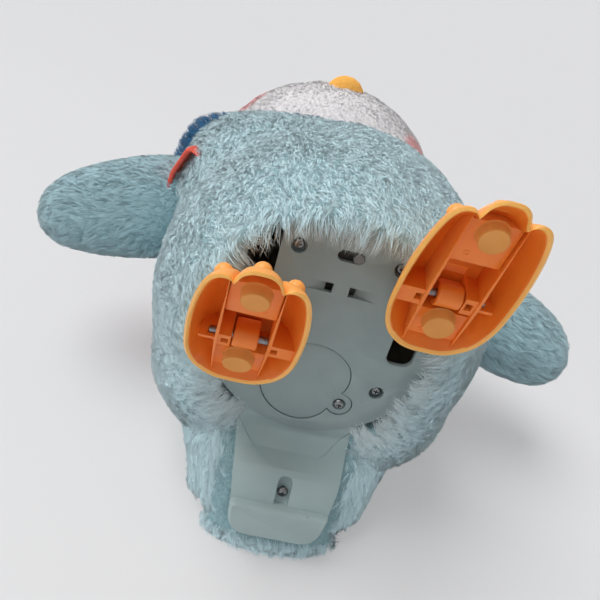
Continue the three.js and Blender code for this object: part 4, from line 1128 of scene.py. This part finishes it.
def pile(name, planted_on, count, body, material, where, brushed, reach, thickness,
         lean=0.9, tuft=14, gather=0.6, ruffle=0.35, seed=1, mark=None, glitter=0.1):
    """Plants blades. brushed gives the way the pile lies and reach its length, by place.

    lean lays the blades down. tuft is the number of blades in a tuft, gather pulls them together,
    ruffle turns the tufts about and glitter turns the shade of single blades.
    """
    count = int(count * plenty)
    chance = np.random.default_rng(seed)
    roots, normals, grown = scatter(planted_on, count, where, chance)
    hubs, hub_normals, _ = scatter(planted_on, max(count // tuft, 4), where, chance)
    tree = kdtree.KDTree(len(hubs))
    for i, hub in enumerate(hubs):
        tree.insert(hub, i)
    tree.balance()
    nearest = np.array([tree.find(root)[1] for root in roots])

    def grow(places, facing, swing):
        lie = brushed(places - shift, facing)
        sway = np.sin(places[:, [1, 2, 0]] / mm * 0.16 + [0.5, 1.7, 2.9])
        sway += np.sin(places[:, [2, 0, 1]] / mm * 0.37)
        lie = lie + sway * 0.16
        lie = lie - facing * (lie * facing).sum(axis=1, keepdims=True)
        loose = swing - facing * (swing * facing).sum(axis=1, keepdims=True)
        along = unit(lie + loose * ruffle)
        return unit(facing * (1.15 - lean) + along * lean * 0.8), unit(facing * (0.75 - lean * 0.6) + along)

    length = (reach(roots - shift, normals) * (0.7 + 0.45 * chance.random(count)))[:, None]
    hub_length = reach(hubs - shift, hub_normals)[:, None]
    hub_swing = chance.normal(size=hubs.shape)
    first, last = grow(hubs, hub_normals, hub_swing)
    hub_tips = hubs + (first * 0.5 + last * 0.5) * hub_length
    first, last = grow(roots, normals, hub_swing[nearest] * 0.8 + chance.normal(size=roots.shape) * 0.5)
    curl = chance.normal(size=roots.shape) * 0.07
    knees = [
        roots - normals * 0.0006,
        roots + (first * 0.5 + (first - last) * 0.05 + curl) * length,
        roots + (first * 0.5 + last * 0.5) * length,
    ]
    pull = (hub_tips[nearest] - knees[2]) * gather
    limit = np.minimum(1, 0.8 * length / np.maximum(np.linalg.norm(pull, axis=1, keepdims=True), 1e-9))
    for i, share in enumerate((0, 0.35, 1)):
        knees[i] = knees[i] + pull * limit * share
    across = unit(np.cross(knees[2] - knees[0], normals) + chance.normal(size=roots.shape) * 0.15)
    half = thickness / 2 * (0.7 + 0.6 * chance.random((count, 1)))
    ladder = [knees[0] - across * half, knees[0] + across * half,
              knees[1] - across * half * 0.85, knees[1] + across * half * 0.85, knees[2]]
    points = np.stack(ladder, axis=1).reshape(-1, 3)
    start = np.arange(count)[:, None] * 5
    quads = (start + np.array([0, 1, 3, 2])).reshape(-1, 4)
    tips = start + np.array([2, 3, 4])

    mesh = bpy.data.meshes.new(name)
    mesh.vertices.add(len(points))
    mesh.vertices.foreach_set("co", points.astype(np.float32).ravel())
    loops = np.concatenate([quads.ravel(), tips.ravel()])
    sizes = np.concatenate([np.full(len(quads), 4), np.full(len(tips), 3)])
    mesh.loops.add(len(loops))
    mesh.loops.foreach_set("vertex_index", loops.astype(np.int32))
    mesh.polygons.add(len(sizes))
    mesh.polygons.foreach_set("loop_start", np.concatenate([[0], np.cumsum(sizes)[:-1]]).astype(np.int32))
    mesh.polygons.foreach_set("loop_total", sizes.astype(np.int32))
    mesh.update(calc_edges=True)
    mesh.polygons.foreach_set("use_smooth", np.ones(len(sizes), bool))
    # A blade takes its shade from the skin and from its tuft, as if each tuft were round
    off_hub = (roots - hubs[nearest]) / (2.5 * mm)
    soft = unit(normals + (off_hub * 3 + chance.normal(size=roots.shape)) * glitter)
    lit = np.repeat(soft, 5, axis=0)
    mesh.normals_split_custom_set_from_vertices(lit.tolist())
    kept = mesh.attributes.new("soft", "FLOAT_VECTOR", "POINT")
    kept.data.foreach_set("vector", lit.astype(np.float32).ravel())
    tint = np.empty((count, 5, 4), np.float32)
    tint[:, :, 0] = np.array([0, 0, 0.5, 0.5, 1])
    tint[:, :, 1] = chance.random(len(hubs))[nearest][:, None]
    tint[:, :, 2] = chance.random(count)[:, None]
    # The fourth channel carries the painted hem shade: how far a blade lies at the hem
    tint[:, :, 3] = (mark(roots - shift, normals) if mark else np.zeros(count))[:, None]
    layer = mesh.color_attributes.new("pile", "FLOAT_COLOR", "POINT")
    layer.data.foreach_set("color", tint.ravel())
    made = bpy.data.objects.new(name, mesh)
    bpy.context.scene.collection.objects.link(made)
    mesh.materials.append(material)
    made.visible_shadow = False  # real fibres let light through: they don't darken each other
    made.visible_diffuse = False
    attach(made, body)
    print(name, count, "blades on", round(grown / mm ** 2), "square mm")


def pile_finish(name, tip, mid, root, hem_painted_shade=None, sheen=0.2, dye=None, uneven=1.0):
    """Colour from root to tip, a little different from tuft to tuft and from blade to blade. The roots
    are painted darker, as painted shade deep in the pile, for the blades cast no shadows.
    """
    finish = Finish(name)
    kept = finish.node("Attribute", {"attribute_name": "pile"}, out="Color")
    along, by_tuft, by_blade = finish.parts(kept)
    hem = Value(finish, kept.socket.node.outputs["Alpha"])

    def blade(tip, mid, root):
        lower = finish.mix(along.between(0.0, 0.5), seen(*root), seen(*mid))
        return finish.mix(along.between(0.35, 1.0), lower, seen(*tip))

    tint = blade(tip, mid, root)
    # Painted shade: where the plush turns in at the hem, under the toy, the blades take darker, greyer
    # colours
    if hem_painted_shade:
        tint = finish.mix(hem, tint, blade(*hem_painted_shade))
    if dye:
        tint = dye(finish, tint)
    patches = finish.noise(70, 2)
    level = 1 + (by_tuft * 0.1 + by_blade * 0.06 + patches * 0.1 - 0.14) * uneven
    grey = finish.node("CombineXYZ", {}, {0: level, 1: level, 2: level})
    tint = finish.mix(1.0, tint, grey, "MULTIPLY")
    soft = finish.node("Attribute", {"attribute_name": "soft"}, out="Vector")
    turned = {"vector_type": "NORMAL", "convert_from": "OBJECT", "convert_to": "WORLD"}
    normal = finish.node("VectorTransform", turned, {0: soft})
    return finish.close(tint, 0.9, normal, Specular_IOR_Level=0.1, Sheen_Weight=sheen, Sheen_Roughness=0.5)


# Painted shade: every pile's root colour is darker than its tip
blue_pile = pile_finish(
    "pale_blue_pile", (203, 233, 240), (201, 231, 238), (184, 215, 223),
    # the hem's colours, darker and greyer: painted shade
    hem_painted_shade=((206, 217, 219), (182, 198, 202), (124, 144, 150)), uneven=0.7,
)
# Painted shade: the wing pile is a darker copy of the body's pale blue pile
wing_painted_shade_finish = pile_finish("pale_blue_wing_pile_painted_shade", (174, 206, 214), (164, 198, 207), (132, 167, 177))
white_pile = pile_finish("white_pile", (242, 240, 241), (236, 233, 234), (230, 226, 228), dye=cheeks,
                         uneven=0.3)
navy_pile = pile_finish("navy_pile", (58, 116, 158), (40, 92, 134), (20, 54, 88))


def even(length):
    """A reach that is the same all over."""
    return lambda places, facing: np.full(len(places), length * mm)


def one_way(*way):
    return lambda places, facing: np.tile(way, (len(places), 1))


print("share of the blades that is planted:", plenty)

# %% [markdown]
# The pile of the body runs down its sides, turns in over the edge of the base plate, and is
# longest there.

# %% Body pile
body_middle = np.array([0, 2, 95]) * mm
front_end = 2  # where the front quarters of the body end, in y


def body_where(places, facing):
    x, y, z = places.T / mm
    from_axis = np.hypot(x, y)
    out = ((places - body_middle) * facing).sum(axis=1) > 0.012
    under_head = (z > 158) & (from_axis < 36)
    inside = (from_axis < 66) & (z > 36) & (z < 124)
    under_vest = (y > -22) & (z > 101) & (from_axis > 50)
    over_arm = (np.abs(x) < 29) & (y > 30) & (z < 62)
    return out & ~(under_head | inside | under_vest | over_arm)


def at_hem(places, facing):
    """1 where the plush turns in over the base plate."""
    outward_way = unit(places * [1, 1, 0])
    inner = -(facing * outward_way).sum(axis=1)
    return np.clip((38 * mm - places[:, 2]) / (9 * mm), 0, 1) * np.clip(0.5 + inner, 0, 1)


def body_brushed(places, facing):
    down = np.tile([0.0, 0.0, -1.0], (len(places), 1))
    inward = -unit(places * [1, 1, 0])
    near_hem = np.clip((46 * mm - places[:, 2]) / (16 * mm), 0, 1)[:, None]
    return unit(down * (1 - near_hem * 0.7) + inward * near_hem * 1.3)


def body_reach(places, facing):
    ahead = np.clip((20 * mm - places[:, 1]) / (40 * mm), 0.35, 1)
    return (7.8 + 5.5 * at_hem(places, facing) * ahead) * mm


for i, (end, side) in enumerate(product(("front", "rear"), ("left", "right"))):
    def here(places, facing, end=end, side=side):
        x, y, _ = places.T / mm
        quarter = ((x >= 0) == (side == "left")) & ((y < front_end) == (end == "front"))
        return body_where(places, facing) & quarter

    pile(f"body_pile_{end}_{side}", body_skin, 66000, "chassis", blue_pile,
         here, body_brushed, body_reach, 0.38 * mm,
         lean=0.78, tuft=22, gather=0.4, ruffle=0.26, seed=10 + i, mark=at_hem)

# %% [markdown]
# The pile of the tail is brushed back and down. None grows where the tail support lies on it.

# %% Tail pile
def tail_where(places, facing):
    x, y, _ = places.T / mm
    over_plate = (np.abs(x) < 31) & (y < 96) & (facing[:, 2] < -0.3)
    inner = ((places - np.array([0, 50, 50]) * mm) * facing).sum(axis=1) < 0.004
    return ~over_plate & ~inner


pile("tail_pile", tail_skin, 52000, "chassis", blue_pile,
     tail_where, one_way(0.0, 0.75, -0.65), even(7.0), 0.42 * mm, seed=20)

# %% [markdown]
# The wings' pile runs out to their tips. Its colours are painted a shade darker than the body's, as
# painted shade, for the wings are in shade in the photograph.

# %% Wing pile
for side, sign in (("left", 1), ("right", -1)):
    pile(f"wing_pile_{side}", wing_skins[side], 48000, f"{side}_wing", wing_painted_shade_finish,
         lambda places, facing, sign=sign: places[:, 0] * sign > 66 * mm,
         one_way(0.8 * sign, 0.0, -0.5), even(6.5), 0.42 * mm,
         lean=0.62, gather=0.5, tuft=24, seed=30 + sign)

# %% [markdown]
# The face has a short white pile with pink cheeks, which leaves the eyes free. The hood's is longer,
# and the trim at the neck is fluffy: its blades stand off all round.

# %% Head pile
eye_places = [head_turned(np.array([[side * 25, -69, 210]]))[0] * mm for side in (-1, 1)]


def outer_head(places, facing):
    flush = ((places - head_middle * mm) * facing).sum(axis=1) > 0.05
    clear = [np.linalg.norm(places - eye, axis=1) > 6.2 * mm for eye in eye_places]
    return flush & (places[:, 2] > 150 * mm) & clear[0] & clear[1]


backward = one_way(0.0, 0.8, -0.5)
pile("face_pile", face_skin, 60000, "chassis", white_pile,
     outer_head, backward, even(3.2), 0.42 * mm, tuft=8, gather=0.2, ruffle=0.2, seed=40, glitter=0.03)
pile("hood_pile", hood_skin, 52000, "chassis", blue_pile,
     outer_head, backward, even(5.5), 0.45 * mm, seed=41)
pile("collar_pile", collar_skin, 26000, "chassis", navy_pile,
     lambda places, facing: np.hypot(places[:, 0], places[:, 1]) > 58 * mm,
     lambda places, facing: unit(places * [1, 1, 0]), even(8.0), 0.45 * mm,
     lean=0.4, gather=0.6, tuft=18, seed=42)

# %% [markdown]
# The box of the finished toy is worked out: the pile and the loose plush make it a few millimetres
# larger than that of the model.

# %% Sizes and the end
low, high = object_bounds()
